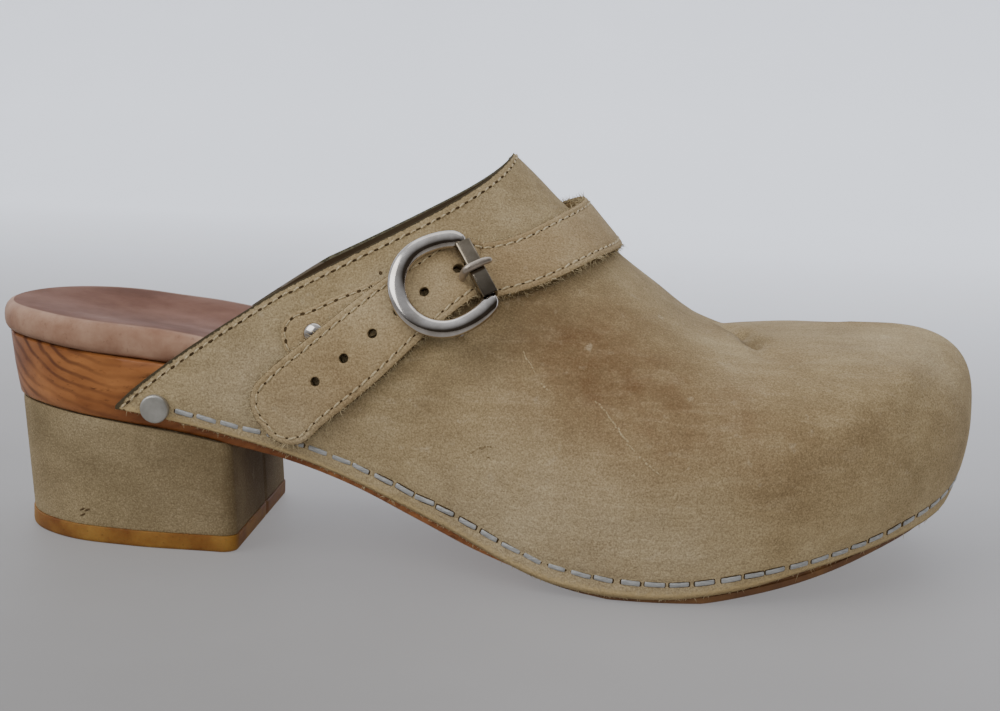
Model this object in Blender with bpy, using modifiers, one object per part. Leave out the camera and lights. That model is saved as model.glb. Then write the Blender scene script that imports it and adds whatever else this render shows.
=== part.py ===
"""Heeled clog, right shoe, standing empty on its sole.

Frame: X runs from the heel to the toe, Y from the outer side of the foot to the
inner side, Z up from the floor.  Sizes and tables are in millimetres, the solids in metres.
"""
import math

import bmesh
import bpy
import numpy as np
from mathutils import Matrix, Vector

MM = 0.001
NAME = "heeled_clog"

# Plan centre of the finished shoe, which becomes the origin
CENTRE = (-1.0, -6.6, 0.0)

# Wall of the upper, gap between pieces, and the wider gap between the sole and what it carries
WALL = 1.8
GAP = 0.3
SEAT = 0.5

# Upper: share of the climb that the swelling wall takes, how late a section drifts forward
# to the ridge, where the ridge lies across the shoe, how far the collar's edge dips
LOW_SHARE = 0.28
ALONG_LAG = 1.15
RIDGE_Y = 5.0
COLLAR_DIP = 13.0
UPPER_COLUMNS = 67
UPPER_ROWS = 18
TOE_CROWDING = 0.4

# Sole: the wood draws in under the footbed's lip towards the back, and both draw in
# where the collar's corners lean over them
TAPER_FRONT = 0.5
TAPER_BACK = 2.4
TAPER_START = -62.0
TAPER_RUN = 45.0
TUCK = 0.9
TUCK_AT = -74.0
TUCK_FLAT = 6.4
TUCK_RUN = 16.0
SOLE_STATIONS = 41
END_CROWDING = 0.45

# Footbed: lip over the wood at the open heel, and the dish under the foot
FOOTBED_LIP = 1.5
FOOTBED_COVERED = 0.4
COVER_START = -100.0
COVER_RUN = 18.0
DISH = 2.2
DISH_END = 40.0
DISH_RUN = 60.0

# Outsole under the ball and toe, feathered out behind the ball
OUTSOLE_THICK = 2.5
OUTSOLE_FEATHER = 0.7
OUTSOLE_REAR = 15.0
OUTSOLE_FULL = 34.0
OUTSOLE_INSET = 1.0
OUTSOLE_HIDE = 1.5
HIDE_START = 58.0
HIDE_RUN = 22.0
OUTSOLE_STATIONS = 23

# Heel: a D in plan, a little narrower at the floor
LIFT_HEIGHT = 4.2
LIFT_LIP = 0.3
LIFT_CHAMFER = 0.6
HEEL_SET = 0.2
HEEL_TAPER = 1.2
HEEL_BREAST_TOP = -61.0
HEEL_BREAST_LOW = -59.5
HEEL_BREAST_SKEW = 0.03
HEEL_BACK_LOW = -119.5
HEEL_HALF_LOW = 31.0
HEEL_CORNER = 3.5
HEEL_STEPS = 17
HEEL_RINGS = (0.0, 0.06, 0.35, 0.7, 1.0)

# Strap and tab
STRAP_THICK = 2.4
STRAP_CORNER = 7.5
STRAP_STATIONS = 46
TAB_THICK = 1.1
TAB_CORNER = 5.5
TAB_STATIONS = 10
BAND_ACROSS = 4

# Buckle: place on the upper, turn against the strap, heights above the upper
BUCKLE_S = 108.2
BUCKLE_C = 0.553
BUCKLE_TURN = 9.5
RING_HEIGHT = 7.2
RING_BACK = 10.4
RING_BAND = 4.4
RING_DEEP = 3.0
BAR_AT = -1.0
BAR_THICK = 1.6
SLEEVE_LENGTH = 14.2
SLEEVE_WIDE = 3.8
SLEEVE_DEEP = 3.6
SLEEVE_CORE = 2.0
TUBE_SIDES = 8
TUBE_POWER = 0.8

# Fasteners, by their place on the upper
STUD_AT = (90.3, 0.413)
NAIL_AT = (67.0, 0.167)
HEAD_STEPS = 24

# Outline of the shoe at the lower edge of the upper, from the heel centre along the
# outer side to the toe and back along the inner side.  low is the height of the leather
# edge, bulge how far the wall swells past that edge, rise the height of the swell above
# it, ridge the place on the instep ridge that the wall climbs to, turn the plan angle
# in which it closes over the foot, square how boxy the section is (1 is an ellipse),
# upright the share of the climb before the section leans in.
OUTLINE_COLUMNS = ("x", "y", "low", "bulge", "rise", "ridge", "turn", "square", "upright")
OUTLINE = [
    (-127.4, 0.0, 36.0, 0.0, 1.0, 3.5, 90, 1.00, 0.20),
    (-122.5, -18.0, 36.0, 0.0, 1.0, 3.5, 90, 1.00, 0.20),
    (-108.0, -30.5, 36.0, 0.0, 1.0, 3.5, 90, 1.00, 0.20),
    (-89.5, -34.5, 35.5, 0.0, 1.0, 3.5, 90, 1.00, 0.22),
    (-62.0, -35.5, 30.2, 1.2, 12.0, 9.0, 90, 1.00, 0.18),
    (-36.0, -40.0, 23.8, 1.8, 15.0, 17.0, 90, 1.00, 0.10),
    (-10.0, -47.0, 14.9, 2.2, 16.0, 27.0, 90, 1.00, 0.05),
    (18.0, -54.0, 4.0, 2.4, 18.0, 38.0, 90, 0.95, 0.00),
    (44.0, -57.0, 2.0, 2.8, 20.0, 51.0, 92, 0.88, 0.00),
    (70.0, -52.0, 5.4, 3.6, 20.5, 65.0, 104, 0.78, 0.00),
    (93.0, -39.5, 9.9, 4.4, 20.5, 79.0, 130, 0.68, 0.00),
    (112.5, -21.0, 15.5, 3.8, 20.0, 88.5, 156, 0.61, 0.00),
    (121.0, 4.0, 18.6, 3.6, 18.5, 93.0, 180, 0.60, 0.00),
    (114.5, 24.5, 15.8, 3.8, 20.0, 88.5, 204, 0.61, 0.00),
    (97.0, 37.5, 10.7, 4.4, 20.5, 79.0, 230, 0.68, 0.00),
    (71.0, 42.5, 5.4, 3.6, 20.5, 65.0, 256, 0.78, 0.00),
    (46.0, 43.0, 2.0, 2.8, 20.0, 51.0, 268, 0.88, 0.00),
    (20.0, 39.5, 4.0, 2.4, 18.0, 38.0, 270, 0.95, 0.00),
    (-9.0, 34.0, 14.6, 2.2, 16.0, 27.0, 270, 1.00, 0.05),
    (-36.0, 31.5, 23.8, 1.8, 15.0, 17.0, 270, 1.00, 0.10),
    (-62.0, 32.8, 30.2, 1.2, 12.0, 9.0, 270, 1.00, 0.18),
    (-89.5, 34.0, 35.5, 0.0, 1.0, 3.5, 270, 1.00, 0.22),
    (-108.0, 30.0, 36.0, 0.0, 1.0, 3.5, 270, 1.00, 0.20),
    (-122.5, 18.0, 36.0, 0.0, 1.0, 3.5, 270, 1.00, 0.20),
    (-127.4, 0.0, 36.0, 0.0, 1.0, 3.5, 270, 1.00, 0.20),
]
ROW_CORNER_OUT = 3
ROW_TOE = 12
ROW_CORNER_IN = 21

# Height of the instep ridge along the shoe
RIDGE_COLUMNS = ("x", "z")
RIDGE = [
    (3.5, 99.5),
    (10.0, 93.8),
    (17.0, 87.2),
    (32.4, 74.6),
    (42.0, 67.2),
    (51.0, 60.6),
    (59.0, 57.4),
    (74.0, 57.6),
    (93.0, 59.4),
]

# Heights along the shoe: wood underside, wood top, and how thick the footbed is
HEIGHT_COLUMNS = ("x", "under", "top", "bed")
HEIGHT = [
    (-128.0, 34.2, 51.0, 7.0),
    (-112.0, 33.6, 50.2, 7.2),
    (-91.0, 31.5, 48.0, 7.6),
    (-76.0, 29.8, 46.4, 7.8),
    (-62.0, 27.5, 44.2, 7.6),
    (-47.0, 24.9, 40.8, 6.8),
    (-31.0, 20.3, 36.0, 5.6),
    (-15.0, 14.0, 29.5, 4.8),
    (1.0, 7.6, 22.8, 4.5),
    (16.0, 3.5, 17.8, 4.5),
    (30.0, 2.7, 15.4, 4.5),
    (50.0, 2.7, 15.0, 4.5),
    (65.0, 4.9, 16.8, 4.5),
    (82.0, 8.3, 19.8, 4.5),
    (100.0, 13.4, 24.0, 4.0),
    (118.0, 19.2, 28.5, 3.5),
]

# Edges of the sole pieces from the lower face up: how far the edge draws in, and its level
# between the lower face (0) and the upper one (1)
EDGE_COLUMNS = ("inset", "level")
WOOD_EDGE = [
    (1.2, 0.0),
    (0.9, 0.05),
    (0.4, 0.5),
    (0.0, 1.0),
]
FOOTBED_EDGE = [
    (1.6, 0.0),
    (0.3, 0.18),
    (0.0, 0.5),
    (0.5, 0.82),
    (2.2, 1.0),
]
OUTSOLE_EDGE = [
    (0.5, 0.0),
    (0.0, 0.3),
    (0.0, 0.62),
    (1.3, 0.64),
    (1.3, 1.0),
]

# Bands laid over the upper, from the free end: place round the outline, climb from the outer
# edge (0) over the ridge (1) to the inner edge (2), height of the underside above the
# upper, how far the heel-side edge is raised, in degrees, and the band's width
BAND_COLUMNS = ("s", "c", "lift", "tilt", "width")
STRAP = [
    (95.1, 0.138, 1.3, 2.0, 18.0),
    (100.5, 0.250, 1.5, 5.0, 18.0),
    (103.4, 0.333, 1.9, 7.0, 18.0),
    (104.3, 0.410, 2.1, 4.5, 18.0),
    (103.9, 0.500, 1.8, 0.0, 17.0),
    (105.0, 0.556, 2.8, 0.0, 16.0),
    (105.5, 0.592, 3.1, 0.0, 15.8),
    (107.0, 0.611, 2.2, 0.0, 15.4),
    (111.8, 0.625, 0.6, -1.0, 15.0),
    (120.9, 0.692, 0.8, -3.0, 15.0),
    (127.6, 0.812, 1.1, -2.0, 15.0),
    (132.0, 0.920, 1.4, 6.0, 15.0),
    (132.5, 1.021, 1.7, 10.0, 15.0),
    (129.5, 1.120, 1.5, 8.0, 15.0),
    (125.0, 1.230, 1.1, 4.0, 15.0),
    (117.0, 1.350, 1.0, 1.0, 15.0),
    (108.0, 1.480, 0.9, 0.0, 15.0),
    (101.0, 1.620, 0.8, 0.0, 15.0),
]
TAB = [
    (84.6, 0.390, 0.3, 0.0, 12.4),
    (90.3, 0.413, 0.3, 0.0, 12.4),
    (93.6, 0.455, 0.3, 0.0, 12.4),
    (98.5, 0.510, 0.3, 0.0, 12.0),
    (103.0, 0.540, 0.3, 0.0, 11.5),
]

# One side of the ring's front half, from the straight side round to the widest place: stout
# runs from the thin core under the sleeve (0) to the full band (1)
RING_COLUMNS = ("along", "across", "stout")
RING = [
    (9.0, 0.0, 0.0),
    (9.0, 7.2, 0.0),
    (8.7, 8.3, 0.6),
    (7.6, 9.3, 1.0),
    (5.8, 10.1, 1.0),
    (3.2, 10.7, 1.0),
    (0.0, 10.9, 1.0),
]
RING_FRONT = RING[0][0]
RING_HALF = RING[-1][1]

# Centre bar that the tab holds, from the ring down to the middle
BAR_COLUMNS = ("across", "out")
BAR = [
    (12.0, 6.8),
    (11.95, 4.4),
    (11.6, 2.6),
    (10.4, 1.6),
    (6.0, 1.2),
    (2.0, 1.2),
]

# Prong, from the strap over the sleeve to its tip
PRONG_COLUMNS = ("along", "out", "thick")
PRONG = [
    (4.2, 5.95, 1.5),
    (4.6, 7.3, 1.7),
    (5.5, 9.4, 1.7),
    (7.0, 10.25, 1.7),
    (9.4, 10.3, 1.7),
    (10.9, 10.2, 1.6),
    (12.2, 9.6, 1.4),
    (13.0, 8.9, 0.9),
]

# Profiles of the round heads, from the top centre to the bottom centre
HEAD_COLUMNS = ("radius", "height")
STUD = [
    (0.0, 1.1),
    (0.9, 1.0),
    (1.7, 0.75),
    (2.3, 0.35),
    (2.5, 0.0),
    (0.0, 0.0),
]
NAIL = [
    (0.0, 1.8),
    (3.1, 1.8),
    (3.5, 1.4),
    (3.5, 0.3),
    (3.2, 0.0),
    (0.0, 0.0),
]


# Curves through the tables
def column(columns, rows, name):
    """One named column of a table as an array."""
    at = columns.index(name)
    return np.array([row[at] for row in rows], float)


def ease(keys, values, at):
    """Smooth curve through the rows of a table: cubic Hermite with averaged slopes."""
    at = np.clip(np.asarray(at, float), keys[0], keys[-1])
    step = np.diff(keys)
    rate = np.diff(values) / step
    slope = np.empty(len(keys))
    slope[1:-1] = (rate[:-1] * step[1:] + rate[1:] * step[:-1]) / (step[1:] + step[:-1])
    slope[0] = rate[0]
    slope[-1] = rate[-1]
    i = np.clip(np.searchsorted(keys, at, side="right") - 1, 0, len(step) - 1)
    w = (at - keys[i]) / step[i]
    return ((2 * w**3 - 3 * w**2 + 1) * values[i] + (w**3 - 2 * w**2 + w) * step[i] * slope[i]
            + (3 * w**2 - 2 * w**3) * values[i + 1] + (w**3 - w**2) * step[i] * slope[i + 1])


def smooth(share):
    """Share from 0 to 1, held outside and eased at both ends."""
    share = np.clip(share, 0, 1)
    return share * share * (3 - 2 * share)


# The last
def outline_keys():
    """Distance round the outline at each row of its table."""
    x = column(OUTLINE_COLUMNS, OUTLINE, "x")
    y = column(OUTLINE_COLUMNS, OUTLINE, "y")
    return np.concatenate([[0.0], np.cumsum(np.hypot(np.diff(x), np.diff(y)))])


KEYS = outline_keys()
S_CORNER_OUT = KEYS[ROW_CORNER_OUT]
S_TOE = KEYS[ROW_TOE]
S_CORNER_IN = KEYS[ROW_CORNER_IN]
S_END = KEYS[-1]


def around(name, s):
    """A column of the outline table at the distance s round it; the plan loop is closed."""
    values = column(OUTLINE_COLUMNS, OUTLINE, name)
    if name in ("x", "y"):
        keys = np.concatenate([[KEYS[-2] - S_END], KEYS, [S_END + KEYS[1]]])
        values = np.concatenate([[values[-2]], values, [values[1]]])
        return ease(keys, values, s)
    return ease(KEYS, values, s)


def outward(s):
    """Unit plan normal of the outline, pointing away from the foot."""
    d = 0.5
    tx = around("x", s + d) - around("x", s - d)
    ty = around("y", s + d) - around("y", s - d)
    size = np.hypot(tx, ty)
    return ty / size, -tx / size


def height(name, x):
    """A column of the height table at x."""
    return ease(column(HEIGHT_COLUMNS, HEIGHT, "x"), column(HEIGHT_COLUMNS, HEIGHT, name), x)


def ridge_z(x):
    """Height of the instep ridge at x."""
    return ease(column(RIDGE_COLUMNS, RIDGE, "x"), column(RIDGE_COLUMNS, RIDGE, "z"), x)


def margin(s, z):
    """How far the wall stands out past the outline at height z, and its slope there."""
    rise = around("rise", s)
    part = np.clip((z - around("low", s)) / rise, 0, 1)
    bulge = around("bulge", s)
    return bulge * (1 - (1 - part)**2), bulge * 2 * (1 - part) / rise


def upper_point(s, v):
    """Outer face of the upper: s round the outline, v from the lower edge (0) to the ridge (1).

    Up to LOW_SHARE the wall swells out as a parabola; above it the section is a
    superellipse quarter that turns over to the ridge point.
    """
    s, v = np.broadcast_arrays(np.asarray(s, float), np.asarray(v, float))
    nx, ny = outward(s)
    part = np.clip(v / LOW_SHARE, 0, 1)
    out = around("bulge", s) * (1 - (1 - part)**2)
    x = around("x", s) + nx * out
    y = around("y", s) + ny * out
    z = around("low", s) + around("rise", s) * part
    rx = around("ridge", s)
    turn = np.radians(around("turn", s))
    ix, iy = np.cos(turn), np.sin(turn)
    across = (rx - x) * ix + (RIDGE_Y - y) * iy
    along = -(rx - x) * iy + (RIDGE_Y - y) * ix
    power = around("square", s)
    climbed = np.clip((v - LOW_SHARE) / (1 - LOW_SHARE), 0, 1)
    hold = around("upright", s)
    leaned = np.clip((climbed - hold) / (1 - hold), 0, 1)
    inward = 1 - np.clip(np.cos(leaned * math.pi / 2), 0, 1)**power
    climb = np.clip(np.sin(climbed * math.pi / 2), 0, 1)**power
    drift = climb**ALONG_LAG
    x = x + ix * across * inward - iy * along * drift
    y = y + iy * across * inward + ix * along * drift
    z = z + (ridge_z(rx) - z) * climb
    return np.stack([x, y, z], -1)


def mirror(s):
    """Place on the inner side that climbs to the same ridge point as s does on the outer side."""
    inner = np.linspace(S_CORNER_IN, S_TOE, 4001)
    return np.interp(around("ridge", s), around("ridge", inner), inner)


# Scene and mesh helpers
def collection(name):
    """A new collection in the scene."""
    made = bpy.data.collections.new(name)
    bpy.context.scene.collection.children.link(made)
    return made


def start(name):
    """Clear the scene and make the collection of the parts."""
    for item in list(bpy.data.objects):
        bpy.data.objects.remove(item, do_unlink=True)
    return collection(name)


def paint(name, colour, rough, metal=0.0):
    """A Principled material."""
    made = bpy.data.materials.new(name)
    made.use_nodes = True
    node = made.node_tree.nodes["Principled BSDF"]
    node.inputs["Base Color"].default_value = (*colour, 1)
    node.inputs["Roughness"].default_value = rough
    node.inputs["Metallic"].default_value = metal
    made.diffuse_color = (*colour, 1)
    return made


def link(name, data, material):
    """A named object among the parts."""
    data.materials.append(material)
    item = bpy.data.objects.new(name, data)
    PARTS.objects.link(item)
    return item


def new_object(name, points, faces, material, closed=True):
    """A mesh object from points in millimetres; an open sheet keeps its facing."""
    mesh = bpy.data.meshes.new(name)
    points = (np.asarray(points) - CENTRE) * MM
    mesh.from_pydata(points.tolist(), [], [list(map(int, f)) for f in faces])
    mesh.validate()
    body = bmesh.new()
    body.from_mesh(mesh)
    bmesh.ops.remove_doubles(body, verts=body.verts, dist=0.00002)
    if closed:
        bmesh.ops.recalc_face_normals(body, faces=body.faces)
        if body.calc_volume(signed=True) < 0:
            bmesh.ops.reverse_faces(body, faces=body.faces)
    body.to_mesh(mesh)
    body.free()
    return link(name, mesh, material)


def thicken(item, name, thickness, offset):
    """Give a sheet its thickness, outward (offset 1) or inward (-1)."""
    wall = item.modifiers.new(name, "SOLIDIFY")
    wall.thickness = thickness * MM
    wall.offset = offset
    wall.use_even_offset = offset < 0


def combine(body, tool, operation):
    """Boolean of two solids, kept as a live modifier; the tool goes to the cutters."""
    PARTS.objects.unlink(tool)
    CUTTERS.objects.link(tool)
    tool.hide_render = True
    tool.display_type = "WIRE"
    mod = body.modifiers.new(operation.lower(), "BOOLEAN")
    mod.operation = operation
    mod.solver = "EXACT"
    mod.object = tool


def grid_faces(rows, cols, start=0):
    """Quads of a grid of points stored row by row."""
    i, j = np.meshgrid(np.arange(rows - 1), np.arange(cols - 1), indexing="ij")
    a = (start + i * cols + j).ravel()
    return np.stack([a, a + 1, a + 1 + cols, a + cols], -1).tolist()


def ring_faces(rings, count):
    """Quads between closed loops of count points each."""
    k, i = np.meshgrid(np.arange(rings - 1), np.arange(count), indexing="ij")
    j = (i + 1) % count
    return np.stack([k * count + i, k * count + j, (k + 1) * count + j, (k + 1) * count + i], -1)


# Sole pieces
def edge_line(s, inset, level_of):
    """Edge of a sole piece: the outline moved in by inset, swelling with the upper's wall."""
    nx, ny = outward(s)
    x = around("x", s)
    for settle in range(3):
        out, slope = margin(s, level_of(x))
        move = out - inset(x) * np.sqrt(1 + slope**2)
        x = around("x", s) + nx * move
    return np.stack([x, around("y", s) + ny * move, level_of(x)], -1)


def side_stations(share, rear=None):
    """Places round the outline for both sides, from the heel, or from x = rear, to the toe."""
    first = 0.0
    last = S_END
    if rear is not None:
        s = np.linspace(S_CORNER_OUT, S_TOE, 2001)
        first = np.interp(rear, around("x", s), s)
        s = np.linspace(S_CORNER_IN, S_TOE, 2001)
        last = np.interp(rear, around("x", s), s)
    return first + (S_TOE - first) * share, last + (S_TOE - last) * share


def slab(name, material, sides, edge, inset_of, level_of, top_of=None, across=5):
    """Solid between two side lines, with the edge profile of a table.

    inset_of(x, more) gives the inset of the edge, level_of(x, level) the height between
    the lower face and the upper one, top_of(x, share) the upper face where it is dished.
    """
    share = np.linspace(0, 1, across + 1)
    lines = []
    for more, level in zip(*(column(EDGE_COLUMNS, edge, n) for n in EDGE_COLUMNS)):
        pair = [edge_line(s, lambda x: inset_of(x, more), lambda x: level_of(x, level)) for s in sides]
        for end in (0, -1):
            if np.hypot(*(pair[0][end] - pair[1][end])[:2]) < 1:
                pair[0][end] = pair[1][end] = (pair[0][end] + pair[1][end]) / 2
        lines.append(pair)
    count = len(sides[0])
    points = []
    faces = []
    for (left, right), level in ((lines[0], 0.0), (lines[-1], 1.0)):
        flat = left[:, None, :2] * (1 - share[:, None]) + right[:, None, :2] * share[:, None]
        z = level_of(flat[..., 0], level)
        if level and top_of:
            z = top_of(flat[..., 0], share)
        z[:, 0] = left[:, 2]
        z[:, -1] = right[:, 2]
        faces.extend(grid_faces(count, across + 1, len(points)))
        points.extend(np.concatenate([flat, z[..., None]], -1).reshape(-1, 3))
    for side in (0, 1):
        faces.extend(grid_faces(len(lines), count, len(points)))
        for pair in lines:
            points.extend(pair[side])
    if np.hypot(*(lines[0][0][0] - lines[0][1][0])[:2]) > 1:
        size = count * (across + 1)
        inner = range(1, len(lines) - 1)
        loop = list(range(across + 1))
        loop += [2 * size + (len(lines) + k) * count for k in inner]
        loop += [size + k for k in range(across, -1, -1)]
        loop += [2 * size + k * count for k in reversed(inner)]
        faces.append(loop)
    return new_object(name, points, faces, material)


def heel_taper(x):
    """How far the wood and the heel draw in under the footbed's lip, all of it at the back."""
    return TAPER_FRONT + (TAPER_BACK - TAPER_FRONT) * np.clip((TAPER_START - x) / TAPER_RUN, 0, 1)


def tuck(x):
    """How far the sole draws in where the collar's corners lean over it."""
    return TUCK * np.clip((TUCK_RUN + TUCK_FLAT - np.abs(x - TUCK_AT)) / TUCK_RUN, 0, 1)


def wood_inset(x, share):
    """Inset of the wood's edge inside the upper's wall."""
    return WALL + SEAT + tuck(x) + share * heel_taper(x)


def wood_level(x, level):
    """Height in the wood between its underside (0) and its top (1)."""
    return height("under", x) + (height("top", x) - height("under", x)) * level


def bed_inset(x, more):
    """The footbed's lip stands over the wood at the heel and draws in under the upper."""
    covered = smooth((x - COVER_START) / COVER_RUN)
    return WALL + SEAT + tuck(x) + more - FOOTBED_LIP + (FOOTBED_LIP + FOOTBED_COVERED) * covered


def bed_level(x, level):
    """Height in the footbed between the wood (0) and its rim (1)."""
    return height("top", x) + GAP + height("bed", x) * level


def bed_top(x, share):
    """Top of the footbed, dished a little under the foot, less so under the toes."""
    bowl = (1 - (2 * share - 1)**2)**2
    return bed_level(x, 1.0) - DISH * bowl * np.clip((DISH_END - x) / DISH_RUN, 0.25, 1)


def tread(x):
    """Underside of the forefoot outsole: flat on the floor under the ball, sprung at the toe."""
    feather = np.clip((OUTSOLE_FULL - x) / (OUTSOLE_FULL - OUTSOLE_REAR), 0, 1)
    thick = OUTSOLE_THICK - (OUTSOLE_THICK - OUTSOLE_FEATHER) * feather
    return np.maximum(height("under", x) - SEAT - thick, 0)


def out_level(x, level):
    """Height in the outsole between the floor side (0) and the wood (1)."""
    return tread(x) + (height("under", x) - SEAT - tread(x)) * level


def out_inset(x, more):
    """The outsole is near flush under the ball and goes in behind the leather at the toe."""
    return OUTSOLE_INSET + OUTSOLE_HIDE * np.clip((x - HIDE_START) / HIDE_RUN, 0, 1) + more


def make_soles():
    """Wood, footbed and forefoot outsole, each a slab between the two sides of the outline."""
    share = np.linspace(0, 1, SOLE_STATIONS)
    share = share - END_CROWDING * np.sin(2 * math.pi * share) / (2 * math.pi)
    sides = side_stations(share)
    slab("wood_sole", WOOD, sides, WOOD_EDGE, wood_inset, wood_level)
    slab("footbed", FOOTBED, sides, FOOTBED_EDGE, bed_inset, bed_level, bed_top)
    sides = side_stations(np.linspace(0, 1, OUTSOLE_STATIONS), rear=OUTSOLE_REAR)
    slab("outsole_forefoot", RUBBER, sides, OUTSOLE_EDGE, out_inset, out_level)


# Heel
def heel_side(direction):
    """One side of the heel in plan, from the back centre to where its front corner starts."""
    s = np.linspace(0, S_CORNER_OUT + 40, 400)
    t = s if direction > 0 else S_END - s
    nx, ny = outward(t)
    inset = WALL + GAP + HEEL_SET + HEEL_TAPER * heel_taper(around("x", t))
    x = around("x", t) - nx * inset
    y = around("y", t) - ny * inset
    stop = np.interp(HEEL_BREAST_TOP - HEEL_CORNER, np.maximum.accumulate(x), s)
    at = np.linspace(0, stop, HEEL_STEPS)
    return np.stack([np.interp(at, s, x), np.interp(at, s, y)], -1)


def heel_loop():
    """Loop of the heel in plan, D-shaped: the outline up to the breast, with rounded corners."""
    turn = np.radians([22.5, 45, 67.5, 90])
    loop = []
    for direction in (1, -1):
        line = heel_side(direction)
        x = line[-1, 0] + HEEL_CORNER * np.sin(turn)
        y = line[-1, 1] + direction * HEEL_CORNER * (1 - np.cos(turn))
        loop.append(np.concatenate([line, np.stack([x, y], -1)]))
    return np.concatenate([loop[0], loop[1][::-1][:-1]])


def heel_ring(share, more=0.0):
    """The heel loop drawn in towards the floor: share 0 under the wood, 1 at the floor."""
    loop = heel_loop()
    back = loop[:, 0].min()
    wide = 0.5 * (loop[:, 1].max() - loop[:, 1].min())
    breast = HEEL_BREAST_TOP + (HEEL_BREAST_LOW - HEEL_BREAST_TOP) * share
    to_back = back + (HEEL_BACK_LOW - back) * share
    part = (loop[:, 0] - back) / (HEEL_BREAST_TOP - back)
    x = to_back + (breast + HEEL_BREAST_SKEW * loop[:, 1] - to_back) * part
    y = loop[:, 1] * (1 + (HEEL_HALF_LOW / wide - 1) * share)
    mid = 0.5 * (to_back + breast)
    grow = 1 + more / HEEL_HALF_LOW
    return np.stack([mid + (x - mid) * grow, y * grow], -1)


def level_ring(ring, z):
    """A plan loop at its height."""
    return np.concatenate([ring, np.broadcast_to(z, len(ring))[:, None]], -1)


def prism(name, material, rings):
    """Solid through loops of points that share one order, capped with strips across."""
    count = len(rings[0])
    faces = ring_faces(len(rings), count).reshape(-1, 4).tolist()
    for base in (0, (len(rings) - 1) * count):
        faces.append([base, base + 1, base + count - 1])
        for i in range(1, count // 2):
            faces.append([base + i, base + i + 1, base + count - i - 1, base + count - i])
    return new_object(name, np.concatenate(rings), faces, material)


def make_heel():
    """Heel block cut to the wood above it, and the lift under it."""
    low = LIFT_HEIGHT + GAP
    rings = []
    for share in HEEL_RINGS:
        ring = heel_ring(share)
        top = height("under", ring[:, 0]) - GAP
        rings.append(level_ring(ring, top + (low - top) * share))
    prism("heel_block", HEEL, rings)
    rim = heel_ring(1.0, LIFT_LIP)
    foot = heel_ring(1.0, LIFT_LIP - LIFT_CHAMFER)
    lift = [level_ring(rim, LIFT_HEIGHT), level_ring(rim, LIFT_CHAMFER), level_ring(foot, 0.0)]
    prism("heel_lift", LIFT, lift)


# Upper
def upper_sheet(cols, rows):
    """Points of the outer face, row by row from the lower edge to the ridge.

    Both ends are the collar; its edge dips a little below the peak on the instep.
    """
    v = np.concatenate([np.linspace(0, LOW_SHARE, 5)[:-1], np.linspace(LOW_SHARE, 1, rows - 4)])[:, None]
    dip = COLLAR_DIP * np.clip(np.sin((v - 0.5) / 0.5 * math.pi), 0, 1)
    share = np.linspace(0, 1, cols // 2 + 1)[None, :]
    share = share + TOE_CROWDING * np.sin(math.pi * share) / math.pi
    first = S_CORNER_OUT + dip
    outer = first + (S_TOE - first) * share
    s = np.concatenate([outer, mirror(outer)[:, ::-1][:, 1:]], 1)
    return upper_point(s, v)


def make_upper():
    """The upper: one sheet lofted from the lower edge to the ridge, given its wall inward."""
    points = upper_sheet(UPPER_COLUMNS, UPPER_ROWS).reshape(-1, 3)
    item = new_object("upper", points, grid_faces(UPPER_ROWS, UPPER_COLUMNS), NUBUCK, closed=False)
    thicken(item, "wall", WALL, -1)


# Strap and tab
def over(s, c):
    """Point and normal of the upper's outer face; c is 0 at the outer edge, 1 on the ridge, 2 inside."""
    def at(s, c):
        place = np.where(c > 1, mirror(s), s)
        return upper_point(place, np.where(c > 1, 2 - c, c))
    along = at(s + 0.5, c) - at(s - 0.5, c)
    climb = at(s, c + 0.004) - at(s, c - 0.004)
    normal = np.cross(along, climb)
    normal /= np.linalg.norm(normal, axis=-1, keepdims=True)
    return at(s, c), normal


def band_path(rows, share):
    """Centre line of a band over the upper: point, direction, side, face and width at each share."""
    keys = np.arange(len(rows), dtype=float)
    k = share * keys[-1]
    s, c, lift, tilt, wide = (ease(keys, column(BAND_COLUMNS, rows, n), k) for n in BAND_COLUMNS)
    point, face = over(s, c)
    point = point + face * lift[:, None]
    ahead = np.gradient(point, axis=0)
    ahead /= np.linalg.norm(ahead, axis=1, keepdims=True)
    side = np.cross(face, ahead)
    side /= np.linalg.norm(side, axis=1, keepdims=True)
    face = np.cross(ahead, side)
    turn = np.radians(tilt)[:, None]
    return point, ahead, np.cos(turn) * side + np.sin(turn) * face, face, wide[:, None]


def band(name, material, rows, thick, corner, stations, open_end=False):
    """A strap of leather along its path, with rounded ends, given its thickness outward."""
    fine = band_path(rows, np.linspace(0, 1, 801))
    run = np.concatenate([[0], np.cumsum(np.linalg.norm(np.diff(fine[0], axis=0), axis=1))])
    end = corner * (1 - np.cos(np.linspace(0.35, math.pi / 2, 7)))
    stop = run[-1] if open_end else run[-1] - corner
    tail = [stop] if open_end else run[-1] - end[::-1]
    length = np.concatenate([end, np.linspace(corner, stop, stations)[1:-1], tail])
    point, side, wide = (
        np.stack([np.interp(length, run, f[:, i]) for i in range(f.shape[1])], -1)
        for f in (fine[0], fine[2], fine[4]))
    to_end = length if open_end else np.minimum(length, run[-1] - length)
    round_off = 1 - np.clip(to_end / corner, 0, 1)
    half = wide / 2 - corner * (1 - np.sqrt(1 - round_off[:, None]**2))
    share = np.linspace(1, -1, BAND_ACROSS + 1)
    points = point[:, None] + side[:, None] * (half * share)[..., None]
    faces = grid_faces(len(length), BAND_ACROSS + 1)
    item = new_object(name, points.reshape(-1, 3), faces, material, closed=False)
    thicken(item, "thickness", thick, 1)


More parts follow.
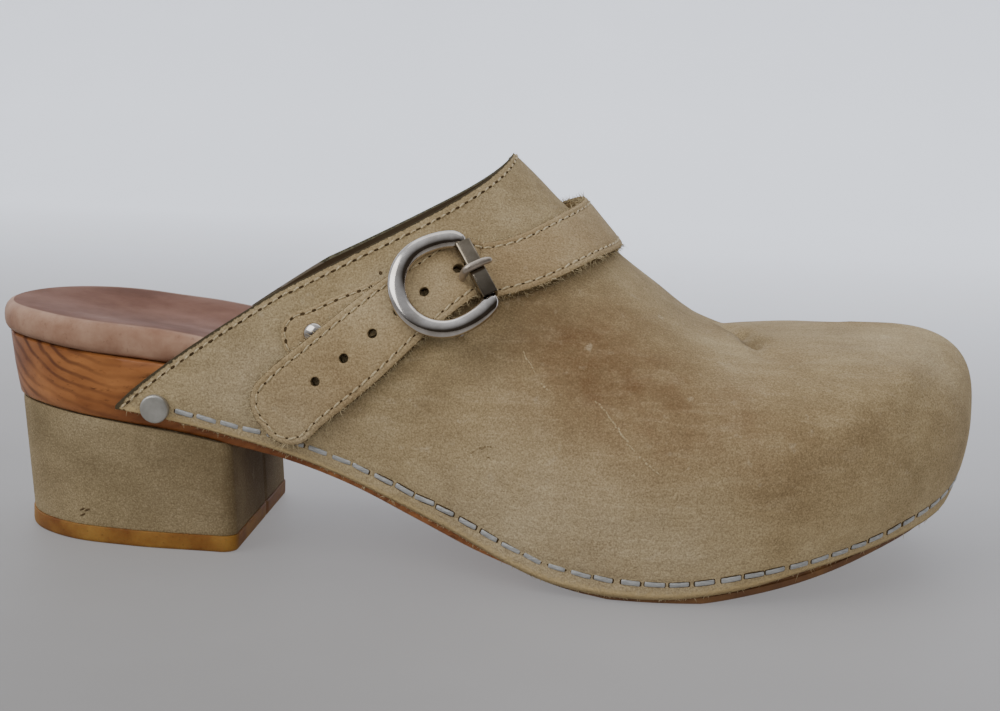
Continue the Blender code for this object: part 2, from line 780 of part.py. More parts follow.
# Buckle
def buckle_axes():
    """Place of the buckle on the upper: centre, along the strap, across it, and out."""
    centre, out = over(np.array([BUCKLE_S]), np.array([BUCKLE_C]))
    centre, out = centre[0], out[0]
    path = band_path(STRAP, np.linspace(0, 1, 801))
    at = np.argmin(np.linalg.norm(path[0] - centre, axis=1))
    along = path[1][at - 25:at + 25].mean(0)
    along = along - out * (along @ out)
    along /= np.linalg.norm(along)
    turn = math.radians(BUCKLE_TURN)
    along = math.cos(turn) * along - math.sin(turn) * np.cross(out, along)
    return centre, along, np.cross(out, along), out


def place(local, axes):
    """Points given along, across and out of the buckle, in the shoe's frame."""
    centre, along, across, out = axes
    local = np.asarray(local, float)
    return centre + local[..., :1] * along + local[..., 1:2] * across + local[..., 2:] * out


def ring_path():
    """Centre line and half sizes of the ring: a D with a straight thin side under the sleeve."""
    front = np.stack([column(RING_COLUMNS, RING, n) for n in RING_COLUMNS], -1)
    turn = np.radians(np.linspace(90, 180, 9))[1:]
    back = np.stack([RING_BACK * np.cos(turn), RING_HALF * np.sin(turn), np.ones(len(turn))], -1)
    half = np.concatenate([front, back])
    loop = np.concatenate([half, half[-2:0:-1] * (1, -1, 1)])
    path = np.stack([loop[:, 0], loop[:, 1], np.full(len(loop), RING_HEIGHT)], -1)
    core = np.full((len(loop), 2), SLEEVE_CORE / 2)
    return path, core + (np.array([RING_BAND, RING_DEEP]) / 2 - core) * loop[:, 2:]


def tube(name, material, path, sections, axes, closed):
    """Loft along a path in the buckle's frame: sections gives half widths in and out of plane."""
    ahead = np.roll(path, -1, 0) - np.roll(path, 1, 0) if closed else np.gradient(path, axis=0)
    flat = np.stack([ahead[:, 1], -ahead[:, 0], np.zeros(len(path))], -1)
    flat /= np.linalg.norm(flat, axis=1, keepdims=True)
    rise = np.cross(flat, ahead)
    rise /= np.linalg.norm(rise, axis=1, keepdims=True)
    turn = np.linspace(0, 2 * math.pi, TUBE_SIDES, endpoint=False)
    wide = np.sign(np.cos(turn)) * np.abs(np.cos(turn))**TUBE_POWER
    high = np.sign(np.sin(turn)) * np.abs(np.sin(turn))**TUBE_POWER
    points = (path[:, None] + flat[:, None] * wide[None, :, None] * sections[:, None, :1]
              + rise[:, None] * high[None, :, None] * sections[:, None, 1:])
    rings = len(path) + 1 if closed else len(path)
    faces = (ring_faces(rings, TUBE_SIDES).reshape(-1, 4) % (len(path) * TUBE_SIDES)).tolist()
    if not closed:
        faces.append(list(range(TUBE_SIDES)))
        faces.append([(len(path) - 1) * TUBE_SIDES + j for j in range(TUBE_SIDES)])
    return new_object(name, place(points.reshape(-1, 3), axes), faces, material)


def box(name, material, middle, size, axes):
    """A box in the buckle's frame, from a cube."""
    body = bmesh.new()
    cube = Matrix.LocRotScale(Vector(middle) * MM, None, Vector(size) * MM)
    bmesh.ops.create_cube(body, size=1, matrix=cube)
    mesh = bpy.data.meshes.new(name)
    body.to_mesh(mesh)
    body.free()
    item = link(name, mesh, material)
    turn = Matrix(np.stack(axes[1:], -1).tolist()).to_quaternion()
    item.matrix_world = Matrix.LocRotScale(Vector((axes[0] - CENTRE) * MM), turn, None)
    return item


def wire(name, material, path, thick, axes):
    """A wire along a path in the buckle's frame: a bevelled curve, thicker and thinner by point."""
    curve = bpy.data.curves.new(name, "CURVE")
    curve.dimensions = "3D"
    curve.bevel_depth = MM / 2
    curve.bevel_resolution = 2
    curve.use_fill_caps = True
    spline = curve.splines.new("POLY")
    spline.points.add(len(path) - 1)
    for point, at, size in zip(spline.points, (place(path, axes) - CENTRE) * MM, thick):
        point.co = (*at, 1)
        point.radius = size
    return link(name, curve, material)


def make_buckle():
    """Ring with its centre bar, the sleeve round its front side, and the prong."""
    axes = buckle_axes()
    path, sections = ring_path()
    ring = tube("buckle_frame", STEEL, path, sections, axes, True)
    across, out = (column(BAR_COLUMNS, BAR, n) for n in BAR_COLUMNS)
    half = np.stack([np.full(len(BAR), BAR_AT), across, out], -1)
    path = np.concatenate([half * (1, -1, 1), half[::-1]])
    sections = np.full((len(path), 2), BAR_THICK / 2)
    combine(ring, tube("buckle_bar", STEEL, path, sections, axes, False), "UNION")
    middle = (RING_FRONT, 0, RING_HEIGHT)
    sleeve = box("buckle_sleeve", STEEL, middle, (SLEEVE_WIDE, SLEEVE_LENGTH, SLEEVE_DEEP), axes)
    core = SLEEVE_CORE + 2 * GAP
    combine(sleeve, box("sleeve_bore", STEEL, middle, (core, 2 * SLEEVE_LENGTH, core), axes), "DIFFERENCE")
    rows = np.arange(len(PRONG), dtype=float)
    fine = np.linspace(0, rows[-1], 15)
    along, out, thick = (ease(rows, column(PRONG_COLUMNS, PRONG, n), fine) for n in PRONG_COLUMNS)
    wire("buckle_prong", STEEL, np.stack([along, np.zeros(len(fine)), out], -1), thick, axes)


# Stud and nails
def turned(name, material, profile, s, c, lift):
    """A round head standing on the upper: its profile turned by a Screw."""
    mesh = bpy.data.meshes.new(name)
    radius, rise = (column(HEAD_COLUMNS, profile, n) * MM for n in HEAD_COLUMNS)
    points = np.stack([radius, np.zeros(len(radius)), rise], -1)
    mesh.from_pydata(points.tolist(), [(i, i + 1) for i in range(len(points) - 1)], [])
    item = link(name, mesh, material)
    centre, out = over(np.array([s]), np.array([c]))
    item.location = (centre[0] + out[0] * lift - CENTRE) * MM
    item.rotation_euler = Vector(out[0]).to_track_quat("Z", "Y").to_euler()
    turn = item.modifiers.new("turn", "SCREW")
    turn.steps = HEAD_STEPS
    turn.render_steps = HEAD_STEPS
    turn.use_merge_vertices = True
    turn.merge_threshold = 0.00001


def make_fittings():
    """Strap, tab, buckle, stud and nails."""
    band("strap", STRAP_LEATHER, STRAP, STRAP_THICK, STRAP_CORNER, STRAP_STATIONS)
    band("buckle_tab", STRAP_LEATHER, TAB, TAB_THICK, TAB_CORNER, TAB_STATIONS, open_end=True)
    make_buckle()
    turned("tab_stud", STEEL, STUD, *STUD_AT, GAP + TAB_THICK + GAP)
    turned("corner_nail_outer", STEEL, NAIL, *NAIL_AT, GAP)
    turned("corner_nail_inner", STEEL, NAIL, NAIL_AT[0], 2 - NAIL_AT[1], GAP)


PARTS = start(NAME)
CUTTERS = collection("cutters")
WOOD = paint("wood", (0.28, 0.12, 0.04), 0.45)
FOOTBED = paint("footbed_leather", (0.20, 0.10, 0.06), 0.6)
NUBUCK = paint("nubuck", (0.27, 0.19, 0.11), 0.85)
HEEL = paint("heel_nubuck", (0.21, 0.16, 0.09), 0.85)
LIFT = paint("lift_rubber", (0.17, 0.08, 0.02), 0.5)
RUBBER = paint("outsole_rubber", (0.14, 0.09, 0.04), 0.6)
STRAP_LEATHER = paint("strap_nubuck", (0.30, 0.21, 0.13), 0.85)
STEEL = paint("steel", (0.55, 0.54, 0.52), 0.25, 1.0)
make_soles()
make_heel()
make_upper()
make_fittings()
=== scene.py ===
# %% [markdown]
# This lesson dresses a solid model of a heeled clog for the right foot. The solids hold the true
# sizes; here each one gets the surface that a hand or an eye would meet: napped leather, thread,
# worn wood and bright steel. X runs from heel to toe, Y from the outer side of the foot to the
# inner side and Z up. Tables are in millimetres, measured from the maker's own zero on the last.

# %% Load the frame
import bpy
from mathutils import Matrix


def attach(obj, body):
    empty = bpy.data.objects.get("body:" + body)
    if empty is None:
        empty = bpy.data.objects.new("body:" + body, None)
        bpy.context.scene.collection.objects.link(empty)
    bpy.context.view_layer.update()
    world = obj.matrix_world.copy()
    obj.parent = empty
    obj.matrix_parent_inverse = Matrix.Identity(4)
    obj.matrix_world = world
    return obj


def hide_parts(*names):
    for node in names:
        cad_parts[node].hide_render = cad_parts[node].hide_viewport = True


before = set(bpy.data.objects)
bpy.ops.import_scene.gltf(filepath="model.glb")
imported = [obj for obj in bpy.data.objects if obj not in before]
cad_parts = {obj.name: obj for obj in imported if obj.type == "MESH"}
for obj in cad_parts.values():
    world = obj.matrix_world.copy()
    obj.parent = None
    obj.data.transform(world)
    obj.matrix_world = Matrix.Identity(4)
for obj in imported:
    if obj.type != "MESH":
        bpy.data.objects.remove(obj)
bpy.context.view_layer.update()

import math

import bmesh
import bpy
import numpy as np
from mathutils import Matrix, Vector

MM = 0.001
CENTRE = np.array([-1.0, -6.6, 0.0])

# %% [markdown]
# The camera stands where the photographer stood: low, on the outer side, close enough for the
# lines of the sole to converge. A pinhole fitted to the shoe gives its place, three small
# angles and the focal length in pixels of the 1000 pixel wide picture.

# %% Camera
CAMERA_AT = (0.01922, -0.40121, 0.11597)
CAMERA_ANGLES = (2.2536, 9.5820, 2.0674)
FOCAL_PIXELS = 1586.5
PICTURE_WIDTH = 1000
SENSOR_WIDTH = 36.0


def aim(yaw, pitch, roll):
    """Axes of a camera that looks along +Y, turned left by yaw, down by pitch and rolled by roll."""
    ahead = np.array([-math.sin(yaw) * math.cos(pitch), math.cos(yaw) * math.cos(pitch), -math.sin(pitch)])
    right = np.array([math.cos(yaw), math.sin(yaw), 0.0])
    up = np.cross(right, ahead)
    turned = math.cos(roll) * right + math.sin(roll) * up
    return np.stack([turned, np.cross(turned, ahead), -ahead], -1)


lens = bpy.data.cameras.new("camera")
lens.lens = SENSOR_WIDTH * FOCAL_PIXELS / PICTURE_WIDTH
lens.sensor_width = SENSOR_WIDTH
lens.sensor_fit = "HORIZONTAL"
lens.clip_start = 0.01
camera = bpy.data.objects.new("camera", lens)
stance = Matrix(aim(*np.radians(CAMERA_ANGLES)).tolist()).to_4x4()
camera.matrix_world = Matrix.Translation(CAMERA_AT) @ stance
bpy.context.scene.collection.objects.link(camera)
bpy.context.scene.camera = camera
print("camera: lens", round(lens.lens, 1), "mm")

# %% [markdown]
# A mesh can be typed in face by face, but a shoe is all smooth surfaces, so each piece here is a
# grid of points that a formula fills at once. These helpers number the faces of a grid, weld and
# face a mesh outwards, and hand the finished piece to the frame.

# %% Mesh helpers
def quads(ids, wrap=False):
    """Faces of a grid of point numbers: each point, its right neighbour, and the two above."""
    if wrap:
        ids = np.concatenate([ids, ids[:, :1]], 1)
    return np.stack([ids[:-1, :-1], ids[:-1, 1:], ids[1:, 1:], ids[1:, :-1]], -1).reshape(-1, 4)


def grid_ids(rows, cols):
    """Point numbers of a grid stored row by row."""
    return np.arange(rows * cols).reshape(rows, cols)


def unit(vectors):
    """Vectors divided by their length."""
    return vectors / np.maximum(np.linalg.norm(vectors, axis=-1, keepdims=True), 1e-9)


def point_normals(points, faces):
    """Normal at each point: the sum of the cross products of the diagonals of the faces round it."""
    corner = points[faces]
    across = np.cross(corner[:, 2] - corner[:, 0], corner[:, 3] - corner[:, 1])
    total = np.zeros_like(points)
    for i in range(4):
        np.add.at(total, faces[:, i], across)
    return unit(total)


def piece(name, points, faces, finishes, slot=None, replaces=(), kinds=None, values=None, sharp=None):
    """Make a closed mesh from millimetre points: drop points without a face, weld, face outwards, and
    ride on the shoe."""
    mesh = bpy.data.meshes.new(name)
    values = values or {}
    if isinstance(faces, np.ndarray):
        used, faces = np.unique(faces, return_inverse=True)
        faces = faces.reshape(-1, 4).tolist()
        points = points[used]
        values = {key: value[used] for key, value in values.items()}
    mesh.from_pydata(((points - CENTRE) * MM).tolist(), [], faces)
    for finish in finishes:
        mesh.materials.append(finish)
    if kinds is not None:
        mesh.polygons.foreach_set("material_index", np.asarray(kinds, np.int32))
    for key, value in values.items():
        mesh.attributes.new(key, "FLOAT", "POINT").data.foreach_set("value", np.asarray(value, np.float32))
    body = bmesh.new()
    body.from_mesh(mesh)
    bmesh.ops.remove_doubles(body, verts=body.verts, dist=0.01 * MM)
    bmesh.ops.recalc_face_normals(body, faces=body.faces)
    if body.calc_volume(signed=True) < 0:
        bmesh.ops.reverse_faces(body, faces=body.faces)
    body.to_mesh(mesh)
    body.free()
    mesh.shade_smooth()
    if sharp:
        mesh.set_sharp_from_angle(angle=math.radians(sharp))
    item = bpy.data.objects.new(name, mesh)
    bpy.context.scene.collection.objects.link(item)
    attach(item, "root")
    if replaces:
        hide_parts(*replaces)
    print(name, len(mesh.polygons), "faces")
    return item


print("a grid of 2 by 3 points has", len(quads(grid_ids(2, 3))), "faces")

# %% [markdown]
# A finish is a small graph of nodes. Patterns read Object coordinates, so sizes can be given in
# real millimetres: a noise whose blobs are 5 mm wide has a scale of one over 5 mm. The class
# below adds nodes one at a time, so that each finish can be read as a recipe.

# %% Finish helpers
def tint(red, green, blue):
    """A screen colour of 0 to 255 as linear light: offset, then a power of 2.4."""
    share = np.array([red, green, blue]) / 255
    return (*np.where(share <= 0.04045, share / 12.92, ((share + 0.055) / 1.055) ** 2.4).tolist(), 1.0)


class Finish:
    """A material being made; each method adds nodes and hands back the socket to use next."""

    def __init__(self, name, **values):
        """Start from the standard shader with a few constant values."""
        self.material = bpy.data.materials.new(name)
        self.material.use_nodes = True
        self.tree = self.material.node_tree
        self.shader = self.tree.nodes["Principled BSDF"]
        for key, value in values.items():
            self.shader.inputs[key.replace("_", " ")].default_value = value
        self.place = self.add("TexCoord").outputs["Object"]

    def add(self, kind, inputs=None, **settings):
        """A node; its inputs are constants or sockets to link."""
        node = self.tree.nodes.new("ShaderNode" + kind)
        for key, value in settings.items():
            setattr(node, key, value)
        for key, value in (inputs or {}).items():
            if isinstance(value, bpy.types.NodeSocket):
                self.tree.links.new(value, node.inputs[key])
            else:
                node.inputs[key].default_value = value
        return node

    def mapped(self, stretch=(1, 1, 1), centre=(0, 0, 0)):
        """Place measured from a centre in millimetres and stretched."""
        shift = tuple(-c * MM * s for c, s in zip(centre, stretch))
        inputs = {"Vector": self.place, "Scale": stretch, "Location": shift}
        return self.add("Mapping", inputs).outputs["Vector"]

    def noise(self, size, detail=3.0, rough=0.55, stretch=None, warp=0.0):
        """Soft noise whose blobs are size millimetres wide."""
        place = self.mapped(stretch) if stretch else self.place
        inputs = {"Vector": place, "Scale": 1 / (size * MM), "Detail": detail, "Roughness": rough,
                  "Distortion": warp}
        return self.add("TexNoise", inputs).outputs["Fac"]

    def value(self, name):
        """A value stored on the points of the piece."""
        return self.add("Attribute", attribute_name=name).outputs["Fac"]

    def math(self, operation, first, second=0.0, clamp=False):
        """Arithmetic on two values."""
        node = self.add("Math", {0: first, 1: second}, operation=operation, use_clamp=clamp)
        return node.outputs[0]

    def span(self, value, low, high, start=0.0, end=1.0):
        """value from low..high to start..end, held outside."""
        inputs = {"Value": value, "From Min": low, "From Max": high, "To Min": start, "To Max": end}
        return self.add("MapRange", inputs).outputs[0]

    def ramp(self, value, *stops):
        """Screen colours along a value."""
        node = self.add("ValToRGB", {"Fac": value})
        marks = node.color_ramp.elements
        for i, (at, colour) in enumerate(stops):
            mark = marks[i] if i < 2 else marks.new(at)
            mark.position = at
            mark.color = tint(*colour)
        return node.outputs["Color"]

    def mix(self, share, first, second):
        """Blend of two colours by a share; each is a socket or a screen colour."""
        first, second = (tint(*c) if isinstance(c, tuple) else c for c in (first, second))
        inputs = {0: share, 6: first, 7: second}
        return self.add("Mix", inputs, data_type="RGBA", clamp_factor=True).outputs[2]

    def bump(self, height, depth, below=None):
        """Relief of the given depth in millimetres on top of another relief."""
        inputs = {"Height": height, "Distance": depth * MM, "Strength": 1.0}
        if below:
            inputs["Normal"] = below
        return self.add("Bump", inputs).outputs["Normal"]

    def done(self, **sockets):
        """Link the recipe to the shader."""
        for key, socket in sockets.items():
            self.tree.links.new(socket, self.shader.inputs[key.replace("_", " ")])
        return self.material


print("one linear grey of 128:", round(tint(128, 128, 128)[0], 3))

# %% [markdown]
# The shoe stands on pale paper that sweeps up behind it, so no horizon shows. The sweep is a
# profile of floor, quarter circle and wall carried sideways. It glows a little, as paper on a light
# table does, which keeps the shadows faint. It isn't part of the shoe.

# %% Floor and backdrop
FLOOR_FRONT = -9.0
FLOOR_BACK = 1.0
SWEEP_RADIUS = 0.6
SWEEP_STEPS = 33
BACKDROP_TOP = 2.2
BACKDROP_HALF = 9.0


def sweep_profile():
    """Side view of the paper: floor, quarter circle and wall, as Y and Z in metres."""
    turn = np.linspace(0, math.pi / 2, SWEEP_STEPS)
    wall = FLOOR_BACK + SWEEP_RADIUS
    y = np.concatenate([[FLOOR_FRONT], FLOOR_BACK + SWEEP_RADIUS * np.sin(turn), [wall]])
    z = np.concatenate([[0.0], SWEEP_RADIUS * (1 - np.cos(turn)), [BACKDROP_TOP]])
    return y, z


paper = Finish("pale_paper", Roughness=0.6, Emission_Strength=1.0)
axes = paper.add("SeparateXYZ", {"Vector": paper.place}).outputs
# Painted light and shade: the paper is coloured darker at the front and on the left and lighter up the wall,
# and its glow grows brighter towards the wall in the same way.
level = paper.math("ADD", paper.span(axes["Y"], -0.35, 1.3), paper.span(axes["X"], -0.16, 0.04, -0.1, 0.0))
paper_painted_light = paper.ramp(level, (0.0, (78, 75, 72)), (1.0, (238, 241, 248)), (0.2, (112, 110, 109)),
                        (0.5, (180, 181, 186)))
grey = paper.span(paper.noise(60, 4), 0.3, 0.7, 0.0, 0.06)
lit = paper.math("ADD", paper.span(axes["Y"], -0.35, 1.6), paper.span(axes["X"], -0.16, 0.04, -0.1, 0.0))
glow = paper.ramp(lit, (0.0, (100, 98, 95)), (1.0, (176, 181, 193)), (0.14, (132, 131, 132)),
                  (0.28, (138, 138, 140)), (0.58, (197, 201, 209)))
paper.done(Base_Color=paper.mix(grey, paper_painted_light, (168, 168, 170)), Emission_Color=glow)
y, z = sweep_profile()
x = np.array([-BACKDROP_HALF, BACKDROP_HALF])
sweep = np.stack(np.broadcast_arrays(x, y[:, None], z[:, None]), -1)
sweep_mesh = bpy.data.meshes.new("backdrop")
sweep_mesh.from_pydata(sweep.reshape(-1, 3).tolist(), [], quads(grid_ids(len(y), 2)).tolist())
sweep_mesh.materials.append(paper.material)
sweep_mesh.shade_smooth()
backdrop = bpy.data.objects.new("backdrop", sweep_mesh)
bpy.context.scene.collection.objects.link(backdrop)
print("backdrop:", len(sweep_mesh.polygons), "faces")

# %% [markdown]
# The light is a big soft window high on the left, and a room whose walls send light back from all
# round, brighter above and on the window's side. The wall in front only fills in the shadows: the
# steel doesn't mirror it, and finds something darker there.

# %% Lights
# Columns: name, place, width, height, power.
LIGHTS = [
    ("window", (-0.95, -0.60, 1.00), 1.2, 0.9, 10.0),
    ("sky", (0.05, 0.45, 1.50), 1.8, 1.2, 5.0),
    ("front_wall", (1.26, -3.64, 1.55), 5.04, 2.8, 98.0),
]
LIGHT_TARGET = (0.0, 0.0, 0.04)
ROOM_BRIGHT = (-0.45, 0.35, 0.82)
ROOM_STRENGTH = 1.0

for name, place, width, height, power in LIGHTS:
    lamp = bpy.data.lights.new(name, "AREA")
    lamp.shape = "RECTANGLE"
    lamp.size = width
    lamp.size_y = height
    lamp.energy = power
    panel = bpy.data.objects.new(name, lamp)
    away = Vector(place) - Vector(LIGHT_TARGET)
    panel.matrix_world = Matrix.Translation(place) @ away.to_track_quat("Z", "Y").to_matrix().to_4x4()
    panel.visible_glossy = name != "front_wall"
    bpy.context.scene.collection.objects.link(panel)
world = bpy.data.worlds.new("room")
world.use_nodes = True
room = world.node_tree
facing = room.nodes.new("ShaderNodeVectorMath")
facing.operation = "DOT_PRODUCT"
facing.inputs[1].default_value = ROOM_BRIGHT
room.links.new(room.nodes.new("ShaderNodeTexCoord").outputs["Generated"], facing.inputs[0])
walls = room.nodes.new("ShaderNodeValToRGB")
walls.color_ramp.elements[0].color = tint(58, 52, 46)
walls.color_ramp.elements[1].color = tint(232, 236, 245)
walls.color_ramp.elements[1].position = 0.85
room.links.new(facing.outputs["Value"], walls.inputs["Fac"])
room.links.new(walls.outputs["Color"], room.nodes["Background"].inputs["Color"])
room.nodes["Background"].inputs["Strength"].default_value = ROOM_STRENGTH
bpy.context.scene.world = world
print("lights:", [row[0] for row in LIGHTS])

# %% [markdown]
# A shoe is built on a last, and the last is described by its outline at the feather edge and by
# the ridge of the instep. These are the tables that the solids were made from. The outline runs
# from the heel centre along the outer side to the toe and back. low is the height of the leather
# edge, bulge how far the wall swells past it, rise the height of the swell, ridge the place that
# the wall climbs to, turn its plan direction, square how boxy it is, upright how late it leans.

# %% Tables of the last
OUTLINE_COLUMNS = ("x", "y", "low", "bulge", "rise", "ridge", "turn", "square", "upright")
OUTLINE = np.array([
    (-127.4, 0.0, 36.0, 0.0, 1.0, 3.5, 90, 1.00, 0.20),
    (-122.5, -18.0, 36.0, 0.0, 1.0, 3.5, 90, 1.00, 0.20),
    (-108.0, -30.5, 36.0, 0.0, 1.0, 3.5, 90, 1.00, 0.20),
    (-89.5, -34.5, 35.5, 0.0, 1.0, 3.5, 90, 1.00, 0.22),
    (-62.0, -35.5, 30.2, 1.2, 12.0, 9.0, 90, 1.00, 0.18),
    (-36.0, -40.0, 23.8, 1.8, 15.0, 17.0, 90, 1.00, 0.10),
    (-10.0, -47.0, 14.9, 2.2, 16.0, 27.0, 90, 1.00, 0.05),
    (18.0, -54.0, 4.0, 2.4, 18.0, 38.0, 90, 0.95, 0.00),
    (44.0, -57.0, 2.0, 2.8, 20.0, 51.0, 92, 0.88, 0.00),
    (70.0, -52.0, 5.4, 3.6, 20.5, 65.0, 104, 0.78, 0.00),
    (93.0, -39.5, 9.9, 4.4, 20.5, 79.0, 130, 0.68, 0.00),
    (112.5, -21.0, 15.5, 3.8, 20.0, 88.5, 156, 0.61, 0.00),
    (121.0, 4.0, 18.6, 3.6, 18.5, 93.0, 180, 0.60, 0.00),
    (114.5, 24.5, 15.8, 3.8, 20.0, 88.5, 204, 0.61, 0.00),
    (97.0, 37.5, 10.7, 4.4, 20.5, 79.0, 230, 0.68, 0.00),
    (71.0, 42.5, 5.4, 3.6, 20.5, 65.0, 256, 0.78, 0.00),
    (46.0, 43.0, 2.0, 2.8, 20.0, 51.0, 268, 0.88, 0.00),
    (20.0, 39.5, 4.0, 2.4, 18.0, 38.0, 270, 0.95, 0.00),
    (-9.0, 34.0, 14.6, 2.2, 16.0, 27.0, 270, 1.00, 0.05),
    (-36.0, 31.5, 23.8, 1.8, 15.0, 17.0, 270, 1.00, 0.10),
    (-62.0, 32.8, 30.2, 1.2, 12.0, 9.0, 270, 1.00, 0.18),
    (-89.5, 34.0, 35.5, 0.0, 1.0, 3.5, 270, 1.00, 0.22),
    (-108.0, 30.0, 36.0, 0.0, 1.0, 3.5, 270, 1.00, 0.20),
    (-122.5, 18.0, 36.0, 0.0, 1.0, 3.5, 270, 1.00, 0.20),
    (-127.4, 0.0, 36.0, 0.0, 1.0, 3.5, 270, 1.00, 0.20),
])
ROW_CORNER_OUT = 3
ROW_TOE = 12
ROW_CORNER_IN = 21
RIDGE = np.array([
    (3.5, 99.5), (10.0, 93.8), (17.0, 87.2), (32.4, 74.6), (42.0, 67.2),
    (51.0, 60.6), (59.0, 57.4), (74.0, 57.6), (93.0, 59.4),
])
HEIGHT_COLUMNS = ("x", "under", "top", "bed")
HEIGHT = np.array([
    (-128.0, 34.2, 51.0, 7.0),
    (-112.0, 33.6, 50.2, 7.2),
    (-91.0, 31.5, 48.0, 7.6),
    (-76.0, 29.8, 46.4, 7.8),
    (-62.0, 27.5, 44.2, 7.6),
    (-47.0, 24.9, 40.8, 6.8),
    (-31.0, 20.3, 36.0, 5.6),
    (-15.0, 14.0, 29.5, 4.8),
    (1.0, 7.6, 22.8, 4.5),
    (16.0, 3.5, 17.8, 4.5),
    (30.0, 2.7, 15.4, 4.5),
    (50.0, 2.7, 15.0, 4.5),
    (65.0, 4.9, 16.8, 4.5),
    (82.0, 8.3, 19.8, 4.5),
    (100.0, 13.4, 24.0, 4.0),
    (118.0, 19.2, 28.5, 3.5),
])
WALL = 1.8
GAP = 0.3
SEAT = 0.5
print("outline rows:", len(OUTLINE))

# %% [markdown]
# Between the rows of a table the eye expects a fair curve. A cubic through each pair of rows, with
# slopes averaged from the neighbours, passes through every measured value and doesn't ripple.

# %% Curves through the tables
def ease(keys, values, at):
    """Cubic Hermite curve through values at keys, with weighted average slopes, held at the ends."""
    at = np.clip(np.asarray(at, float), keys[0], keys[-1])
    step = np.diff(keys)
    rate = np.diff(values) / step
    inner = (rate[:-1] * step[1:] + rate[1:] * step[:-1]) / (step[1:] + step[:-1])
    slope = np.concatenate([rate[:1], inner, rate[-1:]])
    i = np.clip(np.searchsorted(keys, at, side="right") - 1, 0, len(step) - 1)
    w = (at - keys[i]) / step[i]
    return ((2 * w**3 - 3 * w**2 + 1) * values[i] + (w**3 - 2 * w**2 + w) * step[i] * slope[i]
            + (3 * w**2 - 2 * w**3) * values[i + 1] + (w**3 - w**2) * step[i] * slope[i + 1])


def run_of(points):
    """Distance along a line of points."""
    return np.concatenate([[0.0], np.cumsum(np.linalg.norm(np.diff(points, axis=0), axis=1))])


KEYS = run_of(OUTLINE[:, :2])
S_CORNER_OUT, S_TOE, S_CORNER_IN, S_END = KEYS[[ROW_CORNER_OUT, ROW_TOE, ROW_CORNER_IN, -1]]


def around(name, s):
    """A column of the outline at the distance s round it; the plan loop is closed, and the ridge
    never turns back before the toe."""
    values = OUTLINE[:, OUTLINE_COLUMNS.index(name)]
    if name == "ridge":
        return np.minimum(ease(KEYS, values, s), RIDGE[-1, 0] - 0.03 * np.abs(s - S_TOE))
    if name not in ("x", "y"):
        return ease(KEYS, values, s)
    keys = np.concatenate([[KEYS[-2] - S_END], KEYS, [S_END + KEYS[1]]])
    return ease(keys, np.concatenate([[values[-2]], values, [values[1]]]), s)


def outward(s):
    """Plan normal of the outline, away from the foot."""
    step = 0.5
    tx = around("x", s + step) - around("x", s - step)
    ty = around("y", s + step) - around("y", s - step)
    return ty / np.hypot(tx, ty), -tx / np.hypot(tx, ty)


def height(name, x):
    """A column of the height table at x."""
    return ease(HEIGHT[:, 0], HEIGHT[:, HEIGHT_COLUMNS.index(name)], x)


print("round the outline:", round(S_END, 1), "mm")

# %% [markdown]
# The wall of the upper stands on the outline. It swells out a little, then turns over to the ridge
# in a rounded corner whose power sets how boxy it is. The inner side climbs to the same places on
# the ridge, so one number can lead across the shoe from edge to edge.

# %% Surface of the last
RIDGE_Y = 5.0
LOW_SHARE = 0.28
ALONG_LAG = 1.15


def upper_point(s, v):
    """Outer face of the upper: a parabola swells out up to LOW_SHARE of the climb v, then a
    quarter of a superellipse turns over to the point on the ridge."""
    s, v = np.broadcast_arrays(np.asarray(s, float), np.asarray(v, float))
    nx, ny = outward(s)
    part = np.clip(v / LOW_SHARE, 0, 1)
    out = around("bulge", s) * (1 - (1 - part)**2)
    x = around("x", s) + nx * out
    y = around("y", s) + ny * out
    z = around("low", s) + around("rise", s) * part
    rx = around("ridge", s)
    turn = np.radians(around("turn", s))
    ix, iy = np.cos(turn), np.sin(turn)
    across = (rx - x) * ix + (RIDGE_Y - y) * iy
    along = -(rx - x) * iy + (RIDGE_Y - y) * ix
    power = around("square", s)
    climbed = np.clip((v - LOW_SHARE) / (1 - LOW_SHARE), 0, 1)
    hold = around("upright", s)
    leaned = np.clip((climbed - hold) / (1 - hold), 0, 1)
    inward = 1 - np.clip(np.cos(leaned * math.pi / 2), 0, 1)**power
    climb = np.clip(np.sin(climbed * math.pi / 2), 0, 1)**power
    drift = climb**ALONG_LAG
    x = x + ix * across * inward - iy * along * drift
    y = y + iy * across * inward + ix * along * drift
    return np.stack([x, y, z + (ease(*RIDGE.T, rx) - z) * climb], -1)


def mirror(s):
    """Place on the inner side that climbs to the same ridge point as s does on the outer side. A small
    trend towards the toe is added to both, because the ridge stands still there."""
    inner = np.linspace(S_CORNER_IN, S_TOE, 4001)

    def key(s):
        return around("ridge", s) - 3.0 * np.abs(S_TOE - s) / (S_TOE - S_CORNER_OUT)
    return np.interp(key(s), key(inner), inner)


def over(s, c):
    """Point and normal of the upper; c is 0 at the outer edge, 1 on the ridge and 2 at the inner edge."""
    s, c = np.broadcast_arrays(np.asarray(s, float), np.asarray(c, float))

    def at(s, c):
        return upper_point(np.where(c > 1, mirror(s), s), np.where(c > 1, 2 - c, c))
    normal = np.cross(at(s + 0.5, c) - at(s - 0.5, c), at(s, c + 0.004) - at(s, c - 0.004))
    return at(s, c), unit(normal)


print("ridge at the throat:", np.round(upper_point(205.0, 1.0), 1))

# %% [markdown]
# Nubuck is leather sanded on its grain side until a short nap stands up. It scatters light, so it
# is rough with a faint sheen, and every touch leaves a patch: rubbed places go pale, greased ones
# brown. The recipe lays clouds, patches stored on the piece, brushed streaks and nap over each other.

